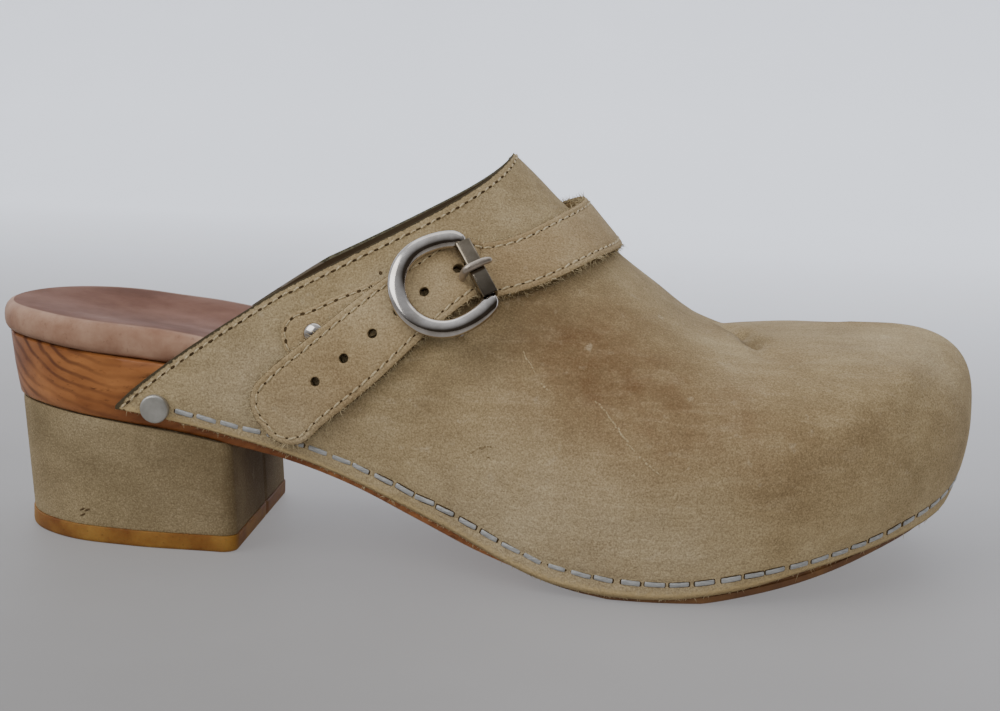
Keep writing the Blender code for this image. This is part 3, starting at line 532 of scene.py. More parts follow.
# %% Nubuck
def nubuck(name, dark, middle, light, brushed):
    """Napped leather: soft clouds of colour, the piece's own patches, brushed streaks, a fine nap, edges
    gone dark or frayed pale, and a pored relief."""
    made = Finish(name, Roughness=0.88, Sheen_Weight=0.06, Sheen_Roughness=0.4, Specular_IOR_Level=0.18)
    made.shader.inputs["Sheen Tint"].default_value = tint(214, 196, 164)
    cloud = made.math("ADD", made.noise(34, 4, 0.55), made.math("MULTIPLY", made.noise(9, 4, 0.6), 0.35))
    colour = made.ramp(cloud, (0.50, dark), (0.90, light), (0.69, middle))
    broken = made.span(made.noise(6, 5, 0.7), 0.3, 0.7, 0.6, 1.15)
    stain = made.math("MULTIPLY", made.value("stain"), broken, clamp=True)
    colour = made.mix(stain, colour, (114, 84, 54))
    pale = made.math("MULTIPLY", made.value("pale"), broken, clamp=True)
    colour = made.mix(pale, colour, (190, 174, 144))
    # Darker for real dirt and for painted shade and shadow, both from the dirt_and_shade balls.
    colour = made.mix(made.value("dirt_and_shade"), colour, (58, 42, 26))
    brush = made.noise(3.6, 5, 0.68, stretch=(0.22, 0.8, 1.2), warp=0.8)
    colour = made.mix(made.span(brush, 0.34, 0.60, brushed, 0.0), colour, (92, 74, 50))
    colour = made.mix(made.span(brush, 0.52, 0.74, 0.0, brushed), colour, (196, 180, 150))
    spots = made.noise(3.4, 2, 0.5)
    colour = made.mix(made.span(spots, 0.66, 0.76, 0.0, 2.6 * brushed), colour, (192, 175, 144))
    nap = made.noise(0.42, 3, 0.7)
    colour = made.mix(made.span(nap, 0.34, 0.62, 0.50, 0.0), colour, (74, 58, 38))
    colour = made.mix(made.span(nap, 0.54, 0.72, 0.0, 0.12), colour, (202, 186, 156))
    torn = made.span(made.noise(0.9, 3, 0.7), 0.3, 0.7, -0.25, 0.25)
    frayed = made.span(made.math("ADD", made.value("frayed"), torn), 0.3, 0.7, 0.0, 0.6)
    colour = made.mix(frayed, colour, (184, 160, 114))
    ragged = made.math("ADD", made.value("edge"), torn)
    colour = made.mix(made.span(ragged, 0.3, 0.55, 0.0, 0.92), colour, (52, 46, 33))
    inputs = {"Vector": made.place, "Scale": 1 / (1.5 * MM)}
    pores = made.add("TexVoronoi", inputs, feature="DISTANCE_TO_EDGE").outputs["Distance"]
    relief = made.bump(made.span(pores, 0.0, 0.22), 0.065)
    relief = made.bump(made.noise(2.4, 3, 0.6), 0.07, relief)
    relief = made.bump(nap, 0.085, relief)
    return made.done(Base_Color=colour, Normal=relief)


upper_nubuck = nubuck("upper_nubuck", (156, 136, 101), (174, 154, 116), (190, 171, 133), 0.17)
strap_nubuck = nubuck("strap_nubuck", (160, 138, 103), (177, 155, 117), (190, 170, 133), 0.12)
heel_nubuck = nubuck("heel_nubuck", (130, 114, 84), (158, 141, 107), (172, 155, 121), 0.05)
print("nubuck nodes:", len(upper_nubuck.node_tree.nodes))

# %% [markdown]
# A cut edge shows the fibres of the hide. At the collar it has gone dark and greenish from
# handling; along the sole it is pale. Inside, the upper is lined with smooth tan leather, with a
# dark facing along the collar.

# %% Raw edges and lining
def raw_edge(name, dark, light):
    """Cut leather: fibres as noise drawn out along the shoe, in two tones."""
    made = Finish(name, Roughness=0.95, Specular_IOR_Level=0.15)
    fibre = made.noise(0.8, 4, 0.7, stretch=(0.5, 0.5, 1.6), warp=0.5)
    relief = made.bump(fibre, 0.25)
    return made.done(Base_Color=made.ramp(fibre, (0.35, dark), (0.68, light)), Normal=relief)


collar_edge = raw_edge("collar_edge", (46, 44, 34), (104, 98, 76))
sole_edge = raw_edge("sole_edge", (136, 116, 82), (190, 170, 132))
# Painted shade: the strap's cut edge faces down into the shadow under the strap, so its tones are dark. The
# tab's edge and the walls of the strap's holes share this finish.
shaded_strap_edge = raw_edge("shaded_strap_edge", (64, 52, 34), (140, 121, 87))
lining = Finish("lining_leather", Roughness=0.6, Specular_IOR_Level=0.35)
pores = lining.noise(1.1, 3, 0.6)
lining_tone = lining.ramp(lining.noise(18, 4, 0.6), (0.3, (150, 122, 92)), (0.7, (178, 150, 118)))
lining_tone = lining.mix(lining.span(lining.value("facing"), 0.25, 0.5, 0.0, 0.9), lining_tone, (70, 62, 46))
lining_leather = lining.done(Base_Color=lining_tone, Normal=lining.bump(pores, 0.08))
print("edges:", collar_edge.name, sole_edge.name, shaded_strap_edge.name)

# %% [markdown]
# The upper is one sheet of leather pulled over the last. Rows of the grid climb from the sole to
# the ridge and columns run from the collar round the toe. The climb isn't even, so the rows are
# spread again by the mean length of the columns, and a few more columns lie close to the collar's
# edge. Outer and inner halves meet on the ridge, where the grid reuses the same points.

# %% Upper: sheet over the last
UPPER_ROWS = 104
COLLAR_DIP = 13.0
TOE_CROWDING = 0.4


def collar_start(v):
    """Where the sheet begins at climb v: the collar's edge dips a little below its peak."""
    return S_CORNER_OUT + COLLAR_DIP * np.clip(np.sin((v - 0.5) / 0.5 * math.pi), 0, 1)


def sheet_places(share, v):
    """Places s of the sheet from the collar (share 0) to the toe (1) and back on the inner side."""
    first = collar_start(v)
    outer = first + (S_TOE - first) * share
    return np.concatenate([outer, mirror(outer)[:, ::-1][:, 1:]], 1)


def even_rows(count):
    """Climbs whose rows lie evenly apart, by the mean length of the columns."""
    t = np.linspace(0, 1, 1201)
    w = np.clip((t - LOW_SHARE) / (1 - LOW_SHARE), 0, 1)
    eased = w - np.sin(2 * math.pi * w) / (2 * math.pi)
    v = np.where(t < LOW_SHARE, t, LOW_SHARE + (1 - LOW_SHARE) * eased)
    line = upper_point(sheet_places(np.linspace(0, 1, 41)[None], v[:, None]), v[:, None])
    run = np.cumsum(np.linalg.norm(np.diff(line, axis=0), axis=-1), axis=0)
    mean = np.concatenate([[0.0], (run / run[-1]).mean(1)])
    return np.interp(np.linspace(0, 1, count), mean, v)


climb = even_rows(UPPER_ROWS)[:, None]
share = np.linspace(0, 1, 166)
share = share + TOE_CROWDING * np.sin(math.pi * share) / math.pi
share = np.concatenate([[0.0, 0.0018, 0.0036, 0.0056, 0.0080], share[share > 0.01]])[None]
half_columns = share.size - 1
places = sheet_places(share, climb)
climbs = np.broadcast_to(climb, places.shape)
sheet = upper_point(places, climbs).reshape(-1, 3)
upper_ids = grid_ids(*places.shape)
upper_ids[-1, half_columns + 1:] = upper_ids[-1, :half_columns][::-1]
sheet_normals = point_normals(sheet, quads(upper_ids))
if (sheet_normals * (sheet - sheet.mean(0))).sum() < 0:
    sheet_normals = -sheet_normals
print("upper sheet:", places.shape, "points")

# %% [markdown]
# Wear has folded the leather where the foot bends. Each crease is a straight line between two
# places on the upper, pressed in as a soft trough, or raised as a ridge where its depth is
# negative. A slow wave keeps the sheet from looking machined.

# %% Creases
# Columns: s0, c0, s1, c1, width, depth.
CREASES = [
    (204.0, 1.06, 208.5, 1.00, 3.6, 1.1),
    (208.5, 1.00, 212.0, 0.95, 3.2, 1.6),
    (212.0, 0.95, 213.2, 0.87, 2.7, 2.1),
    (213.2, 0.87, 214.5, 0.80, 2.8, 1.1),
    (205.0, 0.95, 210.0, 0.86, 5.5, -0.7),
    (216.0, 1.00, 218.0, 0.90, 5.0, -0.5),
    (203.5, 1.06, 211.0, 1.16, 3.6, 0.9),
    (224.0, 0.76, 246.0, 0.69, 2.0, 0.25),
    (220.0, 0.68, 243.0, 0.63, 1.8, 0.22),
    (228.0, 0.85, 250.0, 0.78, 2.2, 0.22),
    (216.0, 0.60, 236.0, 0.55, 2.0, 0.18),
    (228.5, 0.47, 246.0, 0.60, 4.5, -0.55),
    (246.0, 0.60, 261.0, 0.69, 4.5, -0.65),
    (248.0, 0.42, 266.0, 0.58, 5.0, 0.55),
    (262.0, 0.62, 268.0, 0.45, 4.0, 0.35),
    (88.0, 0.87, 96.0, 0.80, 1.7, 0.16),
    (92.0, 0.90, 100.5, 0.83, 1.7, 0.16),
    (97.0, 0.92, 105.0, 0.86, 1.7, 0.14),
    (128.0, 0.55, 133.0, 0.38, 6.0, 0.5),
    (140.0, 0.62, 148.0, 0.40, 7.0, -0.35),
    (150.0, 1.50, 156.0, 1.30, 6.0, 0.4),
]
# Columns: kx, ky, kz, phase, depth.
WAVES = [
    (0.11, 0.05, 0.09, 0.4, 0.12),
    (-0.07, 0.13, 0.12, 1.9, 0.10),
    (0.19, -0.06, -0.15, 3.1, 0.06),
    (0.05, 0.17, -0.21, 5.2, 0.05),
]
WAVE_FADE = 0.12


def crease_relief(points):
    """Sum over the creases of depth times a bell curve of the distance to each line."""
    table = np.array(CREASES)
    start = over(table[:, 0], table[:, 1])[0]
    line = over(table[:, 2], table[:, 3])[0] - start
    away = points[:, None] - start
    along = np.clip((away * line).sum(-1) / (line * line).sum(-1), 0, 1)
    gap = np.linalg.norm(away - along[..., None] * line, axis=-1)
    return -(table[:, 5] * np.exp(-(gap / table[:, 4])**2)).sum(-1)


def wave_relief(points):
    """Sum of slow sine waves through the leather."""
    table = np.array(WAVES)
    return (table[:, 4] * np.sin(points @ table[:, :3].T + table[:, 3])).sum(-1)


edge_fade = np.clip(climbs.ravel() / WAVE_FADE, 0, 1)
relief = crease_relief(sheet) + wave_relief(sheet) * edge_fade
print("creases: deepest", round(relief.min(), 2), "highest", round(relief.max(), 2), "mm")

# %% [markdown]
# Along the sole the staples pull the leather in, and the margin below them hangs lower on the ball
# and is drawn up at the toe. Both are tables by the distance round the outline.

# %% Margin along the sole
# Columns: s, drop.
SKIRT = np.array([(70.0, -0.3), (100.0, -0.5), (125.0, 0.0), (150.0, 0.6), (165.0, 0.8), (180.0, 0.7),
                  (200.0, 0.3), (212.0, 0.0), (227.0, -1.0), (245.0, -0.9), (260.0, -0.5), (275.0, 0.0)])
# Columns: s, rise.
STAPLE_RISE = np.array([(70.0, 2.9), (82.0, 3.2), (100.0, 4.1), (150.0, 3.8), (185.0, 3.3), (230.0, 3.3),
                        (275.0, 4.4)])
STAPLE_DENT = 0.35
STAPLE_TROUGH = 1.2
SKIRT_CLIMB = 0.07


def both_sides(table, s):
    """A column by the distance from the heel, the same on the outer and the inner side."""
    return ease(table[:, 0], table[:, 1], np.minimum(s, S_END - s))


def staple_relief(points, s):
    """A shallow trough along the staples, by height above the leather edge."""
    rise = points[:, 2] - around("low", s)
    return -STAPLE_DENT * np.exp(-((rise - both_sides(STAPLE_RISE, s)) / STAPLE_TROUGH)**2)


def skirt(s, v):
    """How far the margin under the staples is drawn down past the last's feather edge."""
    return both_sides(SKIRT, s) * (1 - np.clip(v / SKIRT_CLIMB, 0, 1))**2


relief = relief + staple_relief(sheet, places.ravel())
worn_sheet = sheet + sheet_normals * relief[:, None]
worn_sheet[:, 2] -= skirt(places.ravel(), climbs.ravel())
print("margin: lowest", round(worn_sheet[:, 2].min(), 2), "mm")

# %% [markdown]
# Patches of wear are soft balls placed on the leather: brown where hands and the other foot have
# rubbed grease in, pale where the nap is scuffed, dark where dirt has settled. The dark balls also
# hold painted shade in the throat crease and on the side of the toe, and a painted shadow under the
# ring and along the strap's lower edge.

# %% Patches on the upper
EDGE_DARK, CORNER_DARK, CORNER_CLIMB = 1.7, 2.4, 0.13
FACING_WIDE, FRAY_HIGH = 9.0, 2.6
COLUMN_STEP = 0.7
# By kind, columns: x, y, z, radius, strength.
UPPER_PATCHES = {
    "stain": [
        (18, -44, 54, 22, 0.5), (40, -53, 42, 20, 0.52), (28, -40, 62, 18, 0.3), (71, -55, 33, 15, 0.34),
        (58, -46, 44, 14, 0.32), (88, -42, 36, 11, 0.2), (72, -24, 54, 8, 0.2), (10, -28, 74, 12, 0.14),
        (30, 46, 36, 20, 0.26), (75, 40, 36, 15, 0.22),
    ],
    "pale": [
        (1, -51, 16, 19, 0.38), (24, -57, 14, 17, 0.42), (47, -59, 12, 15, 0.36), (-40, -38, 40, 14, 0.3),
        (-62, -35, 38, 12, 0.3), (-26, -34.5, 70, 2.4, 0.4), (2, -20, 88, 12, 0.16),
        (100, -18, 56, 15, 0.24), (112, -16, 50, 9, 0.26), (84, -12, 58, 12, 0.12),
        (-54, -37, 46, 15, 0.32),
    ],
    # Dirt and painted shade: the first two balls darken the throat crease, the third and fourth the side of
    # the toe, and the last nine paint the shadow under the ring and along the strap's lower edge.
    "dirt_and_shade": [
        (65.4, -16, 56, 4.6, 0.5), (62, -8, 57, 6, 0.3), (104, -37, 27, 9, 0.15), (114, -18, 36, 8, 0.15),
        (1.4, -51.5, 34, 2.6, 0.1), (3, -45, 57, 7.5, 0.3), (-4, -48, 53, 5.5, 0.22),
        (-10, -48.5, 48.5, 5.5, 0.22), (-16, -48.5, 43.5, 5.5, 0.22), (-22, -48, 38, 5.5, 0.2),
        (-28, -47, 33, 5, 0.16), (12, -40, 62, 6, 0.18), (20, -36, 66, 6, 0.18), (28, -24, 73, 6, 0.16),
    ],
}


def patches(points, kinds):
    """Stain, pale and dirt_and_shade at each point: each ball gives its strength times a bell of the
    distance.
    """
    def total(balls):
        x, y, z, radius, strength = np.array(balls).T
        gap = np.linalg.norm(points[:, None] - np.stack([x, y, z], -1), axis=-1)
        return np.clip(np.exp(-(gap / radius)**2) @ strength, 0, 1)
    return {name: total(balls) for name, balls in kinds.items()}


def edge_values():
    """Values of the edges: the collar's dark edge is 1 at the edge, 0 further in and widest at the
    lower corners; the facing inside is wider; the frayed margin is 1 at the sole. A step along the
    outline is worth COLUMN_STEP of it away from the collar."""
    inside = (places[:, :half_columns + 1] - collar_start(climb)) * COLUMN_STEP
    width = EDGE_DARK + CORNER_DARK * np.clip(1 - climb / CORNER_CLIMB, 0, 1)
    found = {"edge": inside / width, "facing": inside / FACING_WIDE}
    found = {name: np.concatenate([part, part[:, ::-1][:, 1:]], 1).ravel() for name, part in found.items()}
    found["frayed"] = (sheet[:, 2] - around("low", places.ravel())) / FRAY_HIGH
    return {name: np.clip(1 - value, 0, 1) for name, value in found.items()}


marks = patches(worn_sheet, UPPER_PATCHES)
marks.update(edge_values())
print("patches:", {name: round(float(value.max()), 2) for name, value in marks.items()})

# %% [markdown]
# A wall is the sheet, a copy of it moved in along the normals, and a rim that joins their edges.
# Solidify would do the same; written out, the rim can swell like a real cut edge, in one lobe or
# in two where two layers are stitched together, and can take its own finish.

# %% Walls with rims
def sheet_loop(ids):
    """Point numbers round the border of a grid."""
    return np.concatenate([ids[0], ids[1:, -1], ids[-1, -2::-1], ids[-2:0:-1, 0]])


def wall_mesh(points, inner, faces, loop, inside, swell, steps=3, lobes=1):
    """Points and faces of a wall: outer sheet, inner sheet, and a rim that turns half a circle
    from one to the other, swelling by the sine of the turn. inside is a point next to loop[1]."""
    edge = points[loop]
    wall = inner[loop] - edge
    out = unit(np.cross(np.roll(edge, -1, 0) - np.roll(edge, 1, 0), wall))
    if (out[1] * (points[inside] - edge[1])).sum() > 0:
        out = -out
    turn = np.linspace(0, math.pi, steps + 2)[1:-1, None, None]
    rim = edge + wall * (1 - np.cos(turn)) / 2 + out * swell * np.abs(np.sin(lobes * turn))
    count = len(points)
    rows = np.concatenate([loop[None], 2 * count + grid_ids(steps, len(loop)), loop[None] + count])
    rim_faces = quads(rows, wrap=True)
    made = np.concatenate([points, inner, rim.reshape(-1, 3)])
    return made, np.concatenate([faces, faces[:, ::-1] + count, rim_faces]), len(faces), rim_faces


def wall_values(values, loop, steps):
    """Values of the sheet carried to the inner sheet and the rim."""
    return {name: np.concatenate([v, v, np.tile(v[loop], steps)]) for name, v in values.items()}


RIM_STEPS = 3
RIM_SWELL = 0.2
upper_loop = np.concatenate([upper_ids[0], upper_ids[1:, -1], upper_ids[-2:0:-1, 0]])
inner_sheet = worn_sheet - sheet_normals * WALL
points, faces, count, _ = wall_mesh(worn_sheet, inner_sheet, quads(upper_ids), upper_loop, upper_ids[1, 1],
                                    RIM_SWELL, RIM_STEPS)
at_sole = np.arange(len(upper_loop)) < upper_ids.shape[1] - 1
kinds = np.concatenate([np.zeros(count), np.ones(count), np.tile(np.where(at_sole, 2, 3), RIM_STEPS + 1)])
upper_finishes = [upper_nubuck, lining_leather, sole_edge, collar_edge]
piece("upper_leather", points, faces, upper_finishes, "nubuck", ["upper"],
      kinds, wall_values(marks, upper_loop, RIM_STEPS))

# %% [markdown]
# Stitches, needle holes and staples are all short bars set along a path. One bar is modelled, and
# one array product copies it to every place, turned to the path's own direction and face.

# %% Bars along a path
DRAW = np.random.default_rng(11)


def travel(path, face, at):
    """Centre, direction, side and face of a path at the distances given."""
    run = run_of(path)

    def read(array):
        return np.stack([np.interp(at, run, array[:, i]) for i in range(3)], -1)
    ahead = unit(read(np.gradient(path, run, axis=0)))
    up = read(face)
    up = unit(up - ahead * (up * ahead).sum(-1, keepdims=True))
    return read(path), ahead, np.cross(up, ahead), up


def copies(local, faces, centre, ahead, side, up):
    """One shape set at many places: its local axes are replaced by each place's own."""
    local = np.broadcast_to(local, (len(centre), *local.shape[-2:]))
    points = (centre[:, None] + local[..., :1] * ahead[:, None] + local[..., 1:2] * side[:, None]
              + local[..., 2:] * up[:, None])
    shift = np.arange(len(centre))[:, None, None] * local.shape[1]
    return points.reshape(-1, 3), (faces[None] + shift).reshape(-1, faces.shape[1])


def bar(length, wide, high, arch, shape, sides=6):
    """A bar along its first axis: rings at the stations and with the swells of shape, closed at both
    ends, and bent down towards the ends by arch."""
    a, swell = (np.array(column)[:, None] for column in zip(*shape))
    turn = np.linspace(0, 2 * math.pi, sides, endpoint=False)[None]
    x = a * length / 2 + 0 * turn
    y = wide / 2 * swell * np.cos(turn)
    z = high / 2 * swell * np.sin(turn) - arch * a**2
    ids = grid_ids(len(shape), sides)
    caps = [[row[0], row[k], row[k + 1], row[k + 2]] for row in ids[[0, -1]] for k in range(1, sides - 2, 2)]
    return np.stack([x, y, z], -1).reshape(-1, 3), np.concatenate([quads(ids, wrap=True), caps])


THREAD_SHAPE = [(-1.0, 0.3), (-0.8, 0.75), (-0.4, 1.0), (0.0, 1.0), (0.4, 1.0), (0.8, 0.75), (1.0, 0.3)]
HOLE_SHAPE = [(-1.0, 0.2), (-0.75, 0.75), (-0.3, 1.0), (0.3, 1.0), (0.75, 0.75), (1.0, 0.2)]
print("a stitch has", len(bar(1.0, 1.0, 1.0, 0.0, THREAD_SHAPE)[1]), "faces")

# %% [markdown]
# Thread shows as short raised bars that dive into needle holes. A stitch is a bent capsule a little
# unlike its neighbours. Holes are flat dark lenses between the ends of the stitches: painted shade in
# place of the hollow of each hole.

# %% Thread and collar seam
STITCH_LIFT = 0.2
NEEDLE_LIFT, NEEDLE_DEEP = 0.04, 0.16


def seam(name, path, face, slot, pitch, length, thick, slant, hole):
    """Stitches along a path, each a little unlike the next, with a needle hole between each two. hole
    is the length and width of a hole, slant the lean of a stitch in degrees."""
    total = run_of(path)[-1]
    count = int(total / pitch)
    at = (np.arange(count) + 0.5) * total / count
    centre, ahead, side, up = travel(path, face, at + DRAW.normal(0, 0.06, count))
    lean = np.radians(slant + DRAW.normal(0, 4.0, count))[:, None]
    local, body = bar(length, thick, thick * 0.85, thick * 0.5, THREAD_SHAPE)
    local = local * (1 + DRAW.normal(0, 0.06, (count, 1, 3)))
    turned = np.cos(lean) * ahead + np.sin(lean) * side
    made, faces = copies(local, body, centre + up * STITCH_LIFT, turned, np.cross(up, turned), up)
    piece(name + "_thread", made, faces, [tan_thread], slot)
    centre, ahead, side, up = travel(path, face, at[:-1] + 0.5 * total / count)
    local, body = bar(hole[0], hole[1], NEEDLE_DEEP, 0.0, HOLE_SHAPE)
    local = local * (1 + DRAW.normal(0, 0.1, (count - 1, 1, 3)))
    made, faces = copies(local, body, centre + up * NEEDLE_LIFT, ahead, side, up)
    piece(name + "_needle_holes", made, faces, [shade_finish], slot)
    print(name, "stitches:", count)


def thread_finish(name, dark, light):
    """Waxed thread: fine twist as stretched noise."""
    made = Finish(name, Roughness=0.7, Sheen_Weight=0.2)
    twist = made.noise(0.35, 2, 0.5, stretch=(1.0, 1.6, 1.6))
    return made.done(Base_Color=made.ramp(twist, (0.35, dark), (0.7, light)), Normal=made.bump(twist, 0.08))


tan_thread = thread_finish("tan_thread", (150, 131, 96), (206, 189, 151))
# Painted shade: the dark lenses of the needle holes, and the dark bars round the staples.
shade_paint = Finish("needle_hole", Roughness=1.0, Specular_IOR_Level=0.05)
shade_tone = shade_paint.ramp(shade_paint.noise(0.6, 2), (0.3, (52, 41, 28)), (0.7, (84, 68, 47)))
shade_finish = shade_paint.done(Base_Color=shade_tone)

COLLAR_INSET = 1.9
COLLAR_SEAM = dict(pitch=2.85, length=1.8, thick=0.55, slant=12, hole=(1.35, 0.55))


def collar_path(inset):
    """Path and faces at a true distance from the collar's edge: a step in s is divided by the part
    of it that leads away from the edge."""
    v = np.linspace(0.05, 1.0, 400)
    c = np.concatenate([v, 2 - v[::-1][1:]])
    s = np.concatenate([collar_start(v), collar_start(v)[::-1][1:]])
    edge = over(s, c)[0]
    step = over(s + 1.0, c)[0] - edge
    ahead = unit(np.gradient(edge, axis=0))
    away = np.linalg.norm(step - ahead * (step * ahead).sum(-1, keepdims=True), axis=-1)
    return over(s + inset / np.maximum(away, 0.3), c)


path, face = collar_path(COLLAR_INSET)
path = path + face * (crease_relief(path) + wave_relief(path))[:, None]
seam("collar", path, face, "nubuck", **COLLAR_SEAM)

# %% [markdown]
# The upper is held to the wood by a row of flat steel staples that run all round, a few
# millimetres above the leather edge. Each crown is a rounded bar pressed into the nap, with a dark
# line of shadow and dirt round it.

# %% Staples
STAPLE_PITCH = 5.75
STAPLE_LENGTH = 4.5
STAPLE_WIDE = 1.3
STAPLE_HIGH = 0.55
STAPLE_ARCH = 0.1
STAPLE_LIFT = 0.2
SHADE_LONGER, SHADE_WIDER, SHADE_HIGH, SHADE_LIFT = 0.55, 0.5, 0.3, 0.06
STAPLE_SHAPE = [(-1.0, 0.6), (-0.97, 0.85), (-0.9, 1.0), (-0.4, 1.0), (0.4, 1.0), (0.9, 1.0), (0.97, 0.85),
                (1.0, 0.6)]
STAPLE_START = 71.0


def staple_line():
    """Path along both sides at the staples' height: outer corner, toe, inner corner. The climb that
    gives this height is found by halving."""
    s = np.linspace(STAPLE_START, S_END - STAPLE_START, 1400)
    low, high = np.zeros(len(s)), np.full(len(s), 0.9)
    for halving in range(24):
        v = 0.5 * (low + high)
        above = upper_point(s, v)[:, 2] - around("low", s) > both_sides(STAPLE_RISE, s)
        low, high = np.where(above, low, v), np.where(above, v, high)
    points = upper_point(s, v)
    climb = upper_point(s, v + 0.01) - points
    ahead = np.gradient(points, axis=0)
    face = unit(np.cross(ahead, climb))
    return points - face * STAPLE_DENT, face


staple_steel = Finish("staple_steel", Metallic=0.45)
scratch = staple_steel.noise(0.7, 4, 0.7, stretch=(0.4, 0.4, 2.0))
staple_tone = staple_steel.ramp(scratch, (0.3, (136, 137, 136)), (0.7, (196, 197, 195)))
staple_finish = staple_steel.done(
    Base_Color=staple_tone,
    Roughness=staple_steel.span(scratch, 0.3, 0.7, 0.42, 0.66),
    Normal=staple_steel.bump(scratch, 0.05))
path, face = staple_line()
total = run_of(path)[-1]
count = int(total / STAPLE_PITCH)
at = (np.arange(count) + 0.5) * total / count + DRAW.normal(0, 0.22, count)
centre, ahead, side, up = travel(path, face, at)
lean = DRAW.normal(0, math.radians(2.5), count)[:, None]
ahead = np.cos(lean) * ahead + np.sin(lean) * side
side = np.cross(up, ahead)
local, body = bar(STAPLE_LENGTH, STAPLE_WIDE, STAPLE_HIGH, STAPLE_ARCH, STAPLE_SHAPE, sides=8)
local = local * (1 + DRAW.normal(0, 0.05, (count, 1, 3)))
made, faces = copies(local, body, centre + up * STAPLE_LIFT, ahead, side, up)
piece("staples", made, faces, [staple_finish], "steel")
# Painted shadow, with some dirt: a flat dark bar a little larger than each staple, just under it.
local, body = bar(STAPLE_LENGTH + SHADE_LONGER, STAPLE_WIDE + SHADE_WIDER, SHADE_HIGH, STAPLE_ARCH,
                  STAPLE_SHAPE, sides=8)
made, faces = copies(local, body, centre + up * SHADE_LIFT, ahead, side, up)
piece("staple_shade_and_dirt", made, faces, [shade_finish], "nubuck")
print("staples:", count)

# %% [markdown]
# The strap crosses the instep from the inner side and comes down through the buckle to a rounded
# tip. Its course is a table of places on the upper with the height of its underside, the tilt of
# its heel-side edge and its width. The short tab that holds the buckle has a course of its own.

# %% Strap and tab courses
# Columns: s, c, lift, tilt, width.
STRAP = np.array([
    (95.1, 0.138, 1.3, 2.0, 18.0),
    (100.5, 0.250, 1.5, 5.0, 18.0),
    (103.4, 0.333, 1.9, 7.0, 18.0),
    (104.3, 0.410, 2.1, 4.5, 18.0),
    (103.9, 0.500, 1.8, 0.0, 17.0),
    (105.0, 0.556, 2.8, 0.0, 16.0),
    (105.5, 0.592, 3.1, 0.0, 15.8),
    (107.0, 0.611, 2.2, 0.0, 15.4),
    (111.8, 0.625, 0.6, -1.0, 15.0),
    (120.9, 0.692, 0.8, -3.0, 15.0),
    (127.6, 0.812, 1.1, -2.0, 15.0),
    (132.0, 0.920, 1.4, 6.0, 15.0),
    (132.5, 1.021, 1.7, 10.0, 15.0),
    (129.5, 1.120, 1.5, 8.0, 15.0),
    (125.0, 1.230, 1.1, 4.0, 15.0),
    (117.0, 1.350, 1.0, 1.0, 15.0),
    (108.0, 1.480, 0.9, 0.0, 15.0),
    (101.0, 1.620, 0.8, 0.0, 15.0),
])
TAB = np.array([
    (84.6, 0.390, 0.3, 0.0, 12.4),
    (90.3, 0.413, 0.3, 0.0, 12.4),
    (93.6, 0.455, 0.3, 0.0, 12.4),
    (98.5, 0.510, 0.3, 0.0, 12.0),
    (103.0, 0.540, 0.3, 0.0, 11.5),
])
STRAP_THICK = 2.4
STRAP_CORNER = 7.5
TAB_THICK = 1.1
TAB_CORNER = 5.5
print("course rows:", len(STRAP), "strap,", len(TAB), "tab")

# %% [markdown]
# A band is a ribbon with rounded ends, laid along its course. Thick leather bridges small turns of
# the upper, so the path is smoothed, and any point of the band is found from its length along the
# path, its place across and its height above the underside.

